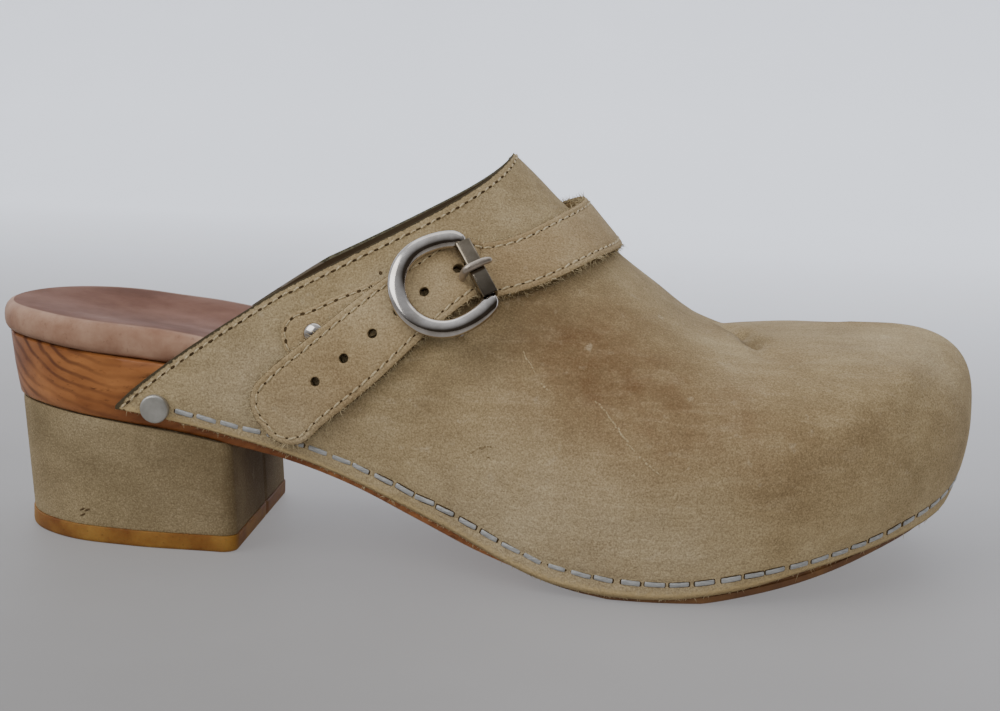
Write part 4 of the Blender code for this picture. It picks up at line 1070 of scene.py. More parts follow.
# %% Bands of leather
class Band:
    """A ribbon of leather over the upper: its path, and any point of it by length and side."""

    def __init__(self, rows, thick, corner, open_end=False):
        """Lay the path over the upper, then turn its side and face by the tilt."""
        keys = np.arange(len(rows), dtype=float)
        k = np.linspace(0, keys[-1], 1601)
        s, c, lift, tilt, wide = (ease(keys, rows[:, i], k) for i in range(5))
        point, face = over(s, c)
        point = self.eased(point + face * lift[:, None], 40, "odd")
        face = unit(self.eased(face, 25, "even"))
        ahead = unit(np.gradient(point, axis=0))
        side = unit(np.cross(face, ahead))
        face = np.cross(ahead, side)
        turn = np.radians(tilt)[:, None]
        self.side = np.cos(turn) * side + np.sin(turn) * face
        self.face = np.cos(turn) * face - np.sin(turn) * side
        self.point, self.ahead, self.wide = point, ahead, wide
        self.run = run_of(point)
        self.thick, self.corner, self.open_end = thick, corner, open_end

    def eased(self, rows, reach, kind):
        """Moving average along the band: thick leather doesn't follow every turn of the upper."""
        weight = np.ones(2 * reach + 1) / (2 * reach + 1)
        padded = np.pad(rows, ((reach, reach), (0, 0)), "reflect", reflect_type=kind)
        return np.stack([np.convolve(column, weight, "valid") for column in padded.T], -1)

    def read(self, array, at):
        """Values kept along the path, at a length."""
        array = array.reshape(len(array), -1)
        return np.stack([np.interp(at, self.run, array[:, i]) for i in range(array.shape[1])], -1)

    def half(self, at, inset=0.0):
        """Half width at a length: the plan has quarter circles at its ends."""
        corner = self.corner - inset
        to_end = at if self.open_end else np.minimum(at, self.run[-1] - at)
        short = 1 - np.clip((to_end - inset) / corner, 0, 1)
        return self.read(self.wide, at)[..., 0] / 2 - inset - corner * (1 - np.sqrt(1 - short**2))

    def at(self, length, across, up):
        """Point of the band: on the path at length, across from it, up from the underside."""
        return (self.read(self.point, length) + self.read(self.side, length) * across[..., None]
                + self.read(self.face, length) * np.broadcast_to(up, length.shape)[..., None])

    def lengths(self, count, inset=0.0):
        """Lengths crowded in the rounded ends."""
        corner = self.corner - inset
        end = inset + corner * (1 - np.cos(np.linspace(0, math.pi / 2, 15)))
        stop = self.run[-1] if self.open_end else self.run[-1] - self.corner
        middle = np.linspace(self.corner, stop, count)[1:-1]
        return np.concatenate([end, middle, [stop] if self.open_end else self.run[-1] - end[::-1]])

    def edge(self, inset, count=500):
        """Path parallel to the plan's edge, from one end round the tip to the other: length, across."""
        length = self.lengths(count, inset)
        half = self.half(length, inset)
        bar = np.linspace(-half[0], half[0], 12)[1:-1]
        return (np.concatenate([length[::-1], np.full(10, length[0]), length]),
                np.concatenate([-half[::-1], bar, half]))


strap = Band(STRAP, STRAP_THICK, STRAP_CORNER)
tab = Band(TAB, TAB_THICK, TAB_CORNER, open_end=True)
print("strap: length", round(strap.run[-1], 1), "mm; tab:", round(tab.run[-1], 1), "mm")

# %% [markdown]
# The face of a band is pressed down along its seam and rounds off at the edges. Holes are punched
# along the middle of the strap. A Boolean could cut them; here rings of points take the place of a
# block of faces, which leaves clean edges.

# %% Faces and holes of a band
EDGE_ROUND, EDGE_RUN = 0.35, 1.0
PRESS_WIDE = 0.55
HOLE_WIDE = 2.1


def band_faces(band, stations, across, inset, depth):
    """Grids of the band's outer and inner face and of the places across it. The outer face is rounded
    down at the edges and pressed in along the seam, by the distance to the edge of the plan."""
    length = band.lengths(stations)[:, None]
    half = band.half(length)
    share = np.linspace(-1, 1, across)[None]
    share = 0.5 * share + 0.5 * np.sin(share * math.pi / 2)
    side = half * share
    wide = band.read(band.wide, length)[..., 0] / 2
    ends = length if band.open_end else np.minimum(length, band.run[-1] - length)
    dx = band.corner - ends + 0 * side
    dy = np.abs(side) - (wide - band.corner)
    in_corner = (dx > 0) & (dy > 0)
    to_edge = np.where(in_corner, band.corner - np.hypot(dx, dy), np.minimum(ends, wide - np.abs(side)))
    press = depth * np.exp(-((to_edge - inset) / PRESS_WIDE)**2)
    drop = EDGE_ROUND * np.clip(1 - to_edge / EDGE_RUN, 0, 1)**2
    length = length + 0 * side
    return band.at(length, side, band.thick - press - drop), band.at(length, side, 0.5 * drop), length, side


def punched(band, points, faces, ids, length, side, holes):
    """Cut round holes in a wall made from a grid: the block of faces round each hole, on both sides of
    the wall, gives way to rings that lead from the block's border to the hole and down through it."""
    count = ids.size
    rings = np.array([(HOLE_WIDE / 2 + 0.3, band.thick - 0.02), (HOLE_WIDE / 2 + 0.08, band.thick - 0.14),
                      (HOLE_WIDE / 2, band.thick - 0.5), (HOLE_WIDE / 2, 0.2)])
    keep = np.ones((ids.shape[0] - 1, ids.shape[1] - 1), bool)
    added, new_faces, base = [], [], len(points)
    for hole in holes:
        near = HOLE_WIDE / 2 + 0.7
        rows = np.flatnonzero(np.abs(length[:, 0] - hole) < near)
        cols = np.flatnonzero(np.abs(side[rows[0]]) < near)
        block = ids[rows[0]:rows[-1] + 1, cols[0]:cols[-1] + 1]
        keep[rows[0]:rows[-1], cols[0]:cols[-1]] = False
        border = sheet_loop(block)
        angle = np.arctan2(side.ravel()[border], length.ravel()[border] - hole)
        at = hole + rings[:, :1] * np.cos(angle)
        across = rings[:, :1] * np.sin(angle)
        added.append(band.at(at, across, rings[:, 1:] + 0 * at).reshape(-1, 3))
        inner_rows = base + grid_ids(len(rings), len(border))
        new_faces.append(quads(np.concatenate([border[None], inner_rows, border[None] + count]), wrap=True))
        base += inner_rows.size
    keep = np.concatenate([keep.ravel(), keep.ravel(), np.ones(len(faces) - 2 * keep.size, bool)])
    wall_kinds = np.concatenate([np.repeat((0, 0, 1, 1, 0), len(made) // 5) for made in new_faces])
    return np.concatenate([points, *added]), np.concatenate([faces[keep], *new_faces]), keep, wall_kinds


print("holes:", HOLE_WIDE, "mm wide")

# %% [markdown]
# Two layers of nubuck are stitched face to face to make the strap, so its cut edge has two lobes.
# Its six holes aren't quite evenly spaced.

# %% Strap
STRAP_STATIONS = 330
STRAP_ACROSS = 41
SEAM_INSET = 1.6
SEAM_DEPTH = 0.28
STRAP_SEAM = dict(pitch=2.9, length=2.45, thick=0.56, slant=9, hole=(0.75, 0.48))
STRAP_EDGE = dict(swell=0.2, lobes=2)
HOLES = np.array([17.6, 26.3, 34.9, 42.8, 50.4, 59.5])
STRAP_PATCHES = {
    "stain": [
        (-30, -46, 42, 14, 0.2), (-12, -46, 64, 9, 0.1), (8, -32, 76, 12, 0.35), (26, -14, 84, 10, 0.3),
    ],
    "pale": [
        (-12, -46, 64, 9, 0.25), (-44, -44, 36, 10, 0.3),
    ],
    "dirt_and_shade": [
        (33, 0, 82, 7, 0.12),
    ],
}


def band_piece(name, band, grid, seam_at, edge, replaces, holes=()):
    """A band as a wall between its two faces. grid is the count of stations and of places across,
    seam_at the inset and depth of the seam, edge the swell and lobes of the cut edge."""
    outer, inner, length, side = band_faces(band, *grid, *seam_at)
    ids = grid_ids(*outer.shape[:2])
    loop = sheet_loop(ids)
    points = outer.reshape(-1, 3)
    made, faces, count, rim_faces = wall_mesh(points, inner.reshape(-1, 3), quads(ids), loop, ids[1, 1],
                                              steps=5, **edge)
    kinds = np.concatenate([np.zeros(2 * count), np.ones(len(rim_faces))])
    if len(holes):
        made, faces, keep, wall_kinds = punched(band, made, faces, ids, length, side, holes)
        kinds = np.concatenate([kinds[keep], wall_kinds])
    piece(name, made, faces, [strap_nubuck, shaded_strap_edge], "strap_nubuck", replaces, kinds,
          patches(made, STRAP_PATCHES))


band_piece("strap_leather", strap, (STRAP_STATIONS, STRAP_ACROSS), (SEAM_INSET, SEAM_DEPTH), STRAP_EDGE,
           ["strap"], HOLES)
length, across = strap.edge(SEAM_INSET)
path = strap.at(length, across, STRAP_THICK - SEAM_DEPTH)
seam("strap", path, strap.read(strap.face, length), "strap_nubuck", **STRAP_SEAM)

# %% [markdown]
# The tab holds the buckle. It is a single thin layer, so its edge hardly shows, and a seam and a
# domed stud fix it to the upper.

# %% Tab
TAB_STATIONS = 60
TAB_ACROSS = 31
TAB_INSET = 1.0
TAB_DEPTH = 0.3
TAB_SEAM = dict(pitch=2.85, length=2.0, thick=0.4, slant=3, hole=(1.1, 0.95))
TAB_EDGE = dict(swell=0.05, lobes=1)
band_piece("tab_leather", tab, (TAB_STATIONS, TAB_ACROSS), (TAB_INSET, TAB_DEPTH), TAB_EDGE, ["buckle_tab"])
length, across = tab.edge(TAB_INSET)
path = tab.at(length, across, TAB_THICK - TAB_DEPTH)
seam("tab", path, tab.read(tab.face, length), "strap_nubuck", **TAB_SEAM)

# %% [markdown]
# The cut edges of the strap and of the margin along the sole have frayed. Each fibre is a thin curved
# spike that leaves the edge at its own angle, and a few thousand of them, drawn with a fixed seed,
# give the fuzzy line.

# %% Frayed edges
FIBRE_WIDE = 0.12
FIBRE_LEAN, FIBRE_BEND = 0.7, 0.35
FIBRE_RINGS, FIBRE_SIDES = 5, 3
STRAP_FIBRES = dict(depth=2.2, count=2600, length=1.15)
MARGIN_FIBRES = dict(depth=1.4, count=2400, length=0.7)
MARGIN_MIDDLE = 0.8


def fibres(path, face, depth, count, length):
    """Spikes of three sides along a path: root on the cut edge, bent by a square law to the tip, and
    short enough near the floor to end above it."""
    centre, ahead, out, up = travel(path, face, DRAW.uniform(0, run_of(path)[-1], count))
    centre = centre + up * DRAW.uniform(-0.5, 0.5, (count, 1)) * depth
    reach = np.minimum(length * DRAW.gamma(3.0, 0.33, (count, 1)), 0.6 * np.maximum(centre[:, 2:], 0.4))
    lean = DRAW.normal(0, FIBRE_LEAN, (count, 2))
    heading = unit(out + ahead * lean[:, :1] + up * lean[:, 1:])
    bend = unit(DRAW.normal(0, 1, (count, 3)))
    step = np.linspace(0, 1, FIBRE_RINGS)[None, :, None]
    course = heading[:, None] * step + FIBRE_BEND * bend[:, None] * step**2
    spine = centre[:, None] + reach[:, None] * course
    turn = np.linspace(0, 2 * math.pi, FIBRE_SIDES, endpoint=False)[None, :, None]
    one = unit(np.cross(heading, up + 0.01))
    ring = one[:, None] * np.cos(turn) + np.cross(heading, one)[:, None] * np.sin(turn)
    points = spine[:, :, None] + ring[:, None] * (FIBRE_WIDE * (1.02 - step))[..., None]
    ids = grid_ids(FIBRE_RINGS, FIBRE_SIDES)
    shift = np.arange(count)[:, None, None] * ids.size
    return points.reshape(-1, 3), (quads(ids, wrap=True)[None] + shift).reshape(-1, 4)


fray = raw_edge("frayed_fibre", (150, 131, 95), (212, 196, 160))
length, across = strap.edge(0.15, 700)
path = strap.at(length, across, 0.5 * STRAP_THICK)
made, faces = fibres(path, strap.read(strap.face, length), **STRAP_FIBRES)
piece("strap_fibres", made, faces, [fray], "strap_nubuck")
margin = worn_sheet[upper_ids[0]]
margin_face = sheet_normals[upper_ids[0]]
made, faces = fibres(margin - margin_face * MARGIN_MIDDLE, -margin_face, **MARGIN_FIBRES)
piece("margin_fibres", made, faces, [fray], "nubuck")

# %% [markdown]
# Use has left small marks: rows of pale pricks where something pressed on the vamp, a small scuff below
# the buckle, two empty needle holes by the tab. Each is a row of flat lenses on the leather; the dark
# lenses of the empty needle holes are painted shade.

# %% Marks on the vamp
# Columns: s0, c0, s1, c1, count, length, width.
PALE_MARKS = [
    (140.0, 0.535, 147.0, 0.508, 7, 0.8, 0.42),
    (150.0, 0.497, 153.0, 0.487, 3, 0.7, 0.50),
    (166.0, 0.508, 170.0, 0.492, 4, 0.7, 0.44),
    (170.0, 0.492, 181.0, 0.420, 17, 0.8, 0.46),
    (182.0, 0.413, 188.0, 0.372, 6, 0.8, 0.52),
]
SCUFF_MARKS = [
    (144.6, 0.318, 145.0, 0.326, 1, 1.0, 0.36),
    (145.9, 0.333, 147.0, 0.341, 4, 0.6, 0.42),
    (146.4, 0.342, 148.2, 0.347, 3, 0.5, 0.36),
    (148.4, 0.324, 149.0, 0.327, 1, 0.7, 0.36),
]
DARK_MARKS = [
    (88.6, 0.5265, 89.0, 0.5255, 1, 1.0, 0.80),
    (84.5, 0.5515, 84.9, 0.5505, 1, 0.9, 0.75),
]


def lenses(rows):
    """Flat lenses in straight rows on the worn leather."""
    made = []
    for s0, c0, s1, c1, count, length, width in rows:
        k = np.linspace(0, 1, 60)
        path, face = over(s0 + (s1 - s0) * k, c0 + (c1 - c0) * k)
        path = path + face * (crease_relief(path) + wave_relief(path))[:, None]
        at = (np.arange(count) + 0.5) / count * run_of(path)[-1]
        centre, ahead, side, up = travel(path, face, at)
        centre = centre + side * DRAW.normal(0, 0.3 * width, (count, 1))
        local, body = bar(length, width, 0.09, 0.0, HOLE_SHAPE)
        local = local * (1 + DRAW.normal(0, 0.15, (count, 1, 3)))
        made.append(copies(local, body, centre + up * 0.02, ahead, side, up))
    return joined(*made)


def joined(*parts):
    """Several meshes as one: faces renumbered past the points before them."""
    points, faces, base = [], [], 0
    for part_points, part_faces in parts:
        points.append(part_points)
        faces += [[base + int(i) for i in face] for face in part_faces]
        base += len(part_points)
    return np.concatenate(points), faces


pale_mark = raw_edge("rubbed_nap", (150, 130, 97), (184, 165, 130))
scuff_mark = raw_edge("scuffed_nap", (104, 88, 62), (142, 123, 92))
# A real scuff on the heel; on the two empty needle holes the same dark tones are painted shade.
dark_mark = raw_edge("scratch_and_hole_shade", (70, 55, 37), (108, 90, 64))
piece("pale_pricks", *lenses(PALE_MARKS), [pale_mark], "nubuck")
piece("vamp_scuff", *lenses(SCUFF_MARKS), [scuff_mark], "nubuck")
piece("empty_needle_holes", *lenses(DARK_MARKS), [dark_mark], "nubuck")

# %% [markdown]
# The buckle is cast and polished. Polished metal is only as good as what it mirrors, so the finish
# keeps a little roughness and fine scratches. The prong and the nails are duller. The sleeve's steel
# is a darker, browner copy: a painted reflection of the dark room.

# %% Steel
def steel(name, dark, light, low, high, metallic=1.0):
    """Polished or dull steel: faint tarnish and scratches drawn in two directions."""
    made = Finish(name, Metallic=metallic)
    smudge = made.noise(5, 4, 0.6)
    lines = made.noise(0.5, 5, 0.7, stretch=(0.25, 1.5, 1.0))
    rough = made.span(made.math("ADD", smudge, made.math("MULTIPLY", lines, 0.5)), 0.5, 1.0, low, high)
    return made.done(Base_Color=made.ramp(smudge, (0.3, dark), (0.7, light)), Roughness=rough,
                     Normal=made.bump(lines, 0.004))


ring_steel = steel("ring_steel", (174, 166, 156), (214, 208, 200), 0.06, 0.15)
# Painted reflection: the sleeve's steel is tinted dark brown for the dark room it mirrors.
sleeve_steel_painted_reflection = steel("sleeve_steel_painted_reflection", (112, 102, 86), (146, 136, 120), 0.08, 0.2)
prong_steel = steel("prong_steel", (150, 138, 124), (184, 173, 160), 0.25, 0.4, 0.75)
nail_steel = steel("nail_steel", (146, 143, 136), (182, 180, 173), 0.28, 0.42, 0.6)
print("steel finishes:", ring_steel.name, prong_steel.name, nail_steel.name)

# %% [markdown]
# The buckle has its own axes: along the strap, across it and out from the upper. Its tables are the
# ones that the solids use; here they are read more finely.

# %% Buckle tables and axes
BUCKLE_S = 108.2
BUCKLE_C = 0.553
BUCKLE_TURN = 9.5
RING_HEIGHT = 7.2
RING_BACK = 10.4
RING_BAND = 4.4
RING_DEEP = 3.0
BAR_AT = -1.0
BAR_THICK = 1.6
SLEEVE_LENGTH = 14.9
SLEEVE_WIDE = 3.8
SLEEVE_DEEP = 3.6
SLEEVE_CORE = 2.0
SLEEVE_ROUND = 0.55
# Columns: along, across, stout.
RING = np.array([
    (9.0, 0.0, 0.0), (9.0, 7.2, 0.0), (8.7, 8.3, 0.6), (7.6, 9.3, 1.0),
    (5.8, 10.1, 1.0), (3.2, 10.7, 1.0), (0.0, 10.9, 1.0),
])
# Columns: across, out.
BAR = np.array([(12.0, 6.8), (11.95, 4.4), (11.6, 2.6), (10.4, 1.6), (6.0, 1.2), (2.0, 1.2)])
# Columns: along, out, thick.
PRONG = np.array([
    (5.3, 5.95, 1.5), (5.5, 7.3, 1.7), (6.1, 9.4, 1.7), (7.2, 10.25, 1.7),
    (9.4, 10.3, 1.7), (10.9, 10.2, 1.6), (12.2, 9.6, 1.4), (13.0, 8.9, 0.9),
])


def buckle_axes():
    """Centre of the buckle on the upper, and its directions along, across and out."""
    centre, out = (a[0] for a in over(np.array([BUCKLE_S]), np.array([BUCKLE_C])))
    near = np.argmin(np.linalg.norm(strap.point - centre, axis=1))
    along = strap.ahead[near - 50:near + 50].mean(0)
    along = unit(along - out * (along @ out))
    turn = math.radians(BUCKLE_TURN)
    along = math.cos(turn) * along - math.sin(turn) * np.cross(out, along)
    return centre, np.stack([along, np.cross(out, along), out])


BUCKLE_CENTRE, BUCKLE_AXES = buckle_axes()
print("buckle centre:", np.round(BUCKLE_CENTRE, 1))

# %% [markdown]
# A tube is a ring of points carried along a path, with its own half widths in the plane of the
# buckle and out of it. The ring is one tube that closes on itself, the hidden centre bar another.

# %% Ring and bar
TUBE_POWER = 0.8
RING_STATIONS, RING_SIDES, RING_POWER = 180, 28, 0.95
BAR_STATIONS, BAR_SIDES = 24, 14


def tube(path, half, sides, closed, power=TUBE_POWER):
    """Superellipse rings along a path in the buckle's axes, with half widths in and out of plane."""
    ahead = np.roll(path, -1, 0) - np.roll(path, 1, 0) if closed else np.gradient(path, axis=0)
    flat = unit(np.stack([ahead[:, 1], -ahead[:, 0], np.zeros(len(path))], -1))
    rise = unit(np.cross(flat, ahead))
    turn = np.linspace(0, 2 * math.pi, sides, endpoint=False)
    wide = np.sign(np.cos(turn)) * np.abs(np.cos(turn))**power
    high = np.sign(np.sin(turn)) * np.abs(np.sin(turn))**power
    local = (path[:, None] + flat[:, None] * wide[None, :, None] * half[:, None, :1]
             + rise[:, None] * high[None, :, None] * half[:, None, 1:])
    ids = grid_ids(len(path), sides)
    faces = quads(np.concatenate([ids, ids[:1]]) if closed else ids, wrap=True).tolist()
    if not closed:
        faces += [ids[0].tolist(), ids[-1].tolist()]
    return BUCKLE_CENTRE + local.reshape(-1, 3) @ BUCKLE_AXES, faces


def ring_path(count):
    """The ring's closed centre line and half widths: the table's front, then half an ellipse."""
    turn = np.radians(np.linspace(90, 180, 9))[1:]
    back = np.stack([RING_BACK * np.cos(turn), RING[-1, 1] * np.sin(turn), np.ones(len(turn))], -1)
    side = np.concatenate([RING, back])
    loop = np.concatenate([side, side[-2:0:-1] * (1, -1, 1)])
    padded = np.concatenate([loop[-4:], loop, loop[:5]])
    keys = run_of(padded[:, :2])
    at = np.linspace(keys[4], keys[-5], count, endpoint=False)
    along, across, stout = (ease(keys, padded[:, i], at) for i in range(3))
    core = SLEEVE_CORE / 2
    half = core + (np.array([RING_BAND, RING_DEEP]) / 2 - core) * np.clip(stout, 0, 1)[:, None]
    return np.stack([along, across, np.full(count, RING_HEIGHT)], -1), half


run = run_of(BAR)
fine = np.linspace(0, run[-1], BAR_STATIONS)
across, out = (ease(run, BAR[:, i], fine) for i in range(2))
bar_half = np.stack([np.full(BAR_STATIONS, BAR_AT), across, out], -1)
bar_path = np.concatenate([bar_half * (1, -1, 1), bar_half[::-1]])
ring_mesh = tube(*ring_path(RING_STATIONS), RING_SIDES, True, RING_POWER)
bar_mesh = tube(bar_path, np.full((len(bar_path), 2), BAR_THICK / 2), BAR_SIDES, False)
piece("buckle_ring", *joined(ring_mesh, bar_mesh), [ring_steel], "steel", ["buckle_frame"], sharp=60)

# %% [markdown]
# A sheet-metal sleeve is folded round the front side of the ring so that the strap slides over it.
# It is a rounded square tube: the outer outline goes out along the sleeve, turns in at the end and
# comes back as the bore.

# %% Sleeve and prong
def rounded_square(wide, deep, radius, steps=5):
    """Outline of a box with rounded corners, in its own plane."""
    turn = np.radians(np.concatenate([np.linspace(a, a + 90, steps) for a in (0, 90, 180, 270)]))
    corner = np.repeat([(1, 1), (-1, 1), (-1, -1), (1, -1)], steps, axis=0)
    x = corner[:, 0] * (wide / 2 - radius) + radius * np.cos(turn)
    y = corner[:, 1] * (deep / 2 - radius) + radius * np.sin(turn)
    return np.stack([x, y], -1)


outer = rounded_square(SLEEVE_WIDE, SLEEVE_DEEP, SLEEVE_ROUND)
bore = rounded_square(SLEEVE_CORE + 2 * GAP, SLEEVE_CORE + 2 * GAP, 0.3)
half = SLEEVE_LENGTH / 2
stations = [(outer, -half + 0.25), (outer, half - 0.25), (outer * 0.96, half), (bore, half), (bore, -half),
            (outer * 0.96, -half)]
rings = np.stack([np.stack([o[:, 0] + RING[0, 0], np.full(len(o), y), o[:, 1] + RING_HEIGHT], -1)
                  for o, y in stations])
ids = grid_ids(*rings.shape[:2])
sleeve_points = BUCKLE_CENTRE + rings.reshape(-1, 3) @ BUCKLE_AXES
faces = quads(np.concatenate([ids, ids[:1]]), wrap=True)
piece("buckle_sleeve_steel", sleeve_points, faces, [sleeve_steel_painted_reflection], "steel", ["buckle_sleeve"], sharp=35)
PRONG_STATIONS, PRONG_SIDES, PRONG_POWER = 40, 16, 0.9
PRONG_FLAT = 1.1
rows = np.arange(len(PRONG), dtype=float)
fine = np.linspace(0, rows[-1], PRONG_STATIONS)
along, out, thick = (ease(rows, PRONG[:, i], fine) for i in range(3))
end = np.clip((rows[-1] - fine) / 0.6, 0.05, 1)**0.5
path = np.stack([along, np.zeros(PRONG_STATIONS), out], -1)
prong_half = np.stack([PRONG_FLAT * thick / 2 * end, thick / 2 * end], -1)
made, faces = tube(path, prong_half, PRONG_SIDES, False, PRONG_POWER)
piece("buckle_prong_steel", made, faces, [prong_steel], "steel", ["buckle_prong"])

# %% [markdown]
# Studs and nail heads are turned shapes: a profile spun round its axis. The stud is a low dome on
# the tab; the nails are flat discs with a soft edge that pin the corners of the collar to the wood.

# %% Stud and nails
# Columns: radius, height.
STUD = np.array([(0.0, 1.1), (0.5, 1.07), (0.9, 1.0), (1.35, 0.88), (1.7, 0.75), (2.05, 0.56), (2.3, 0.35),
                 (2.45, 0.16), (2.5, 0.0), (0.0, 0.0)])
NAIL = np.array([(0.0, 1.8), (2.4, 1.79), (2.95, 1.76), (3.2, 1.68), (3.4, 1.5), (3.5, 1.25), (3.5, 0.3),
                 (3.4, 0.1), (3.2, 0.0), (0.0, 0.0)])
STUD_AT = (90.3, 0.413)
NAIL_AT = (67.0, 0.167)
HEAD_STEPS = 40


def turned(profile, s, c, lift):
    """A profile of radius and height spun round the normal of the upper."""
    centre, out = (a[0] for a in over(np.array([s]), np.array([c])))
    one = unit(np.cross(out, (0.0, 0.0, 1.0)))
    two = np.cross(out, one)
    turn = np.linspace(0, 2 * math.pi, HEAD_STEPS, endpoint=False)[None, :, None]
    ring = np.cos(turn) * one + np.sin(turn) * two
    points = centre + out * (profile[:, 1] + lift)[:, None, None] + ring * profile[:, 0][:, None, None]
    return points.reshape(-1, 3), quads(grid_ids(len(profile), HEAD_STEPS), wrap=True)


made, faces = turned(STUD, *STUD_AT, 2 * GAP + TAB_THICK)
piece("tab_stud_steel", made, faces, [ring_steel], "steel", ["tab_stud"], sharp=50)
for side, climb_at in (("outer", NAIL_AT[1]), ("inner", 2 - NAIL_AT[1])):
    made, faces = turned(NAIL, NAIL_AT[0], climb_at, GAP)
    piece("nail_" + side, made, faces, [nail_steel], "steel", ["corner_nail_" + side], sharp=50)

# %% [markdown]
# The sole is carved from one block of oiled hardwood. Its grain is a set of bent layers, darkest round
# the heel: rings pushed about by noise give swirls, and noise drawn out lengthwise gives flecks.

# %% Wood, footbed and rubber finishes
wood = Finish("oiled_wood", Coat_Weight=0.1, Coat_Roughness=0.3, Specular_IOR_Level=0.3)
bent = wood.mapped((1.0, 0.3, 1.1), (-88.0, 0.0, 68.0))
layers = {"Vector": bent, "Scale": 105.0, "Distortion": 7.5, "Detail": 3.0, "Detail Scale": 0.4,
          "Detail Roughness": 0.62}
grain = wood.add("TexWave", layers, wave_type="RINGS", rings_direction="Y").outputs["Fac"]
wood_tone = wood.ramp(wood.noise(15, 4, 0.6, stretch=(0.6, 1.0, 1.4)), (0.32, (122, 70, 35)),
                      (0.68, (174, 115, 66)))
far = wood.add("SeparateXYZ", {"Vector": wood.place}).outputs["X"]
strength = wood.math("MULTIPLY", wood.span(wood.noise(16, 3, 0.5), 0.36, 0.60, 0.25, 0.9),
                     wood.span(far, -0.112, -0.088, 1.0, 0.3))
line = wood.math("MULTIPLY", wood.span(grain, 0.02, 0.5, 1.0, 0.0), strength)
wood_tone = wood.mix(line, wood_tone, (70, 34, 21))
cloudy = wood.span(wood.noise(7, 3, 0.6), 0.3, 0.6)
back = wood.math("MULTIPLY", wood.span(far, -0.122, -0.106, 0.6, 0.0), cloudy)
wood_tone = wood.mix(back, wood_tone, (84, 46, 34))
fleck = wood.noise(1.0, 4, 0.7, stretch=(0.3, 1.0, 1.0))
wood_tone = wood.mix(wood.span(fleck, 0.58, 0.72, 0.0, 0.7), wood_tone, (60, 27, 12))
oiled_wood = wood.done(Base_Color=wood_tone, Roughness=wood.span(grain, 0.0, 1.0, 0.55, 0.42),
                       Normal=wood.bump(fleck, 0.05))

bed = Finish("footbed_skin", Specular_IOR_Level=0.12)
worn = bed.noise(20, 4, 0.6)
bed_top_tone = bed.ramp(worn, (0.3, (92, 57, 40)), (0.7, (121, 80, 58)))
bed_rim_tone = bed.ramp(bed.noise(9, 4, 0.6), (0.3, (138, 102, 82)), (0.7, (173, 141, 119)))
bed_tone = bed.mix(bed.value("rim"), bed_top_tone, bed_rim_tone)
bed_tone = bed.mix(bed.span(bed.noise(1.6, 4, 0.7), 0.58, 0.75, 0.0, 0.35), bed_tone, (84, 52, 38))
footbed_leather = bed.done(Base_Color=bed_tone, Roughness=bed.span(worn, 0.3, 0.7, 0.66, 0.5),
                           Normal=bed.bump(bed.noise(0.8, 3, 0.6), 0.04))


def rubber(name, dark, light, low, high, **values):
    """Moulded rubber: cloudy colour with specks of grit."""
    made = Finish(name, **values)
    cloud = made.noise(10, 4, 0.6)
    grit = made.noise(0.7, 3, 0.7)
    tone = made.ramp(cloud, (0.3, dark), (0.7, light))
    tone = made.mix(made.span(grit, 0.62, 0.74, 0.0, 0.6), tone, (52, 34, 20))
    return made.done(Base_Color=tone, Roughness=made.span(cloud, 0.3, 0.7, low, high),
                     Normal=made.bump(grit, 0.06))


outsole_rubber = rubber("crepe_rubber", (84, 54, 32), (124, 90, 56), 0.6, 0.8)
lift_rubber = rubber("amber_rubber", (106, 64, 28), (144, 107, 52), 0.5, 0.65, Subsurface_Weight=0.12,
                     Specular_IOR_Level=0.15)
lift_rubber.node_tree.nodes["Principled BSDF"].inputs["Subsurface Scale"].default_value = 0.003
print("sole finishes:", oiled_wood.name, footbed_leather.name, outsole_rubber.name, lift_rubber.name)

# %% [markdown]
# Each layer of the sole is told by two short formulas of the place along the shoe: how far it lies
# inside the outline, and how high. Wood and heel draw in under the footbed's lip, the footbed is
# dished under the foot, and the outsole thins out behind the ball.

# %% Forms of the sole
TAPER_FRONT, TAPER_BACK, TAPER_START, TAPER_RUN = 0.5, 2.4, -62.0, 45.0
TUCK, TUCK_AT, TUCK_FLAT, TUCK_RUN = 0.9, -74.0, 6.4, 16.0
FOOTBED_LIP, FOOTBED_COVERED, COVER_START, COVER_RUN = 1.5, 0.4, -100.0, 18.0
DISH, DISH_END, DISH_RUN, DISH_BACK, DISH_BACK_RUN = 2.2, 40.0, 60.0, -127.0, 34.0
OUTSOLE_THICK, OUTSOLE_FEATHER, OUTSOLE_REAR, OUTSOLE_FULL = 2.5, 0.2, 15.0, 34.0
OUTSOLE_INSET, OUTSOLE_HIDE, HIDE_START, HIDE_RUN = 1.5, 0.2, 58.0, 22.0
REAR_TUCK, REAR_RUN = 1.4, 10.0


def smooth(share):
    """Share held between 0 and 1 and eased at both ends."""
    share = np.clip(share, 0, 1)
    return share * share * (3 - 2 * share)


def taper(x):
    """How far wood and heel draw in under the footbed's lip towards the back."""
    return TAPER_FRONT + (TAPER_BACK - TAPER_FRONT) * np.clip((TAPER_START - x) / TAPER_RUN, 0, 1)


def tuck(x):
    """How far the sole draws in where the collar's corners lean over it."""
    return TUCK * np.clip((TUCK_RUN + TUCK_FLAT - np.abs(x - TUCK_AT)) / TUCK_RUN, 0, 1)


def wood_inset(x, more):
    """How far the wood's edge lies inside the outline."""
    return WALL + SEAT + tuck(x) + more * taper(x)


def wood_level(x, level):
    """Height in the wood at a share of its thickness."""
    return height("under", x) + (height("top", x) - height("under", x)) * level


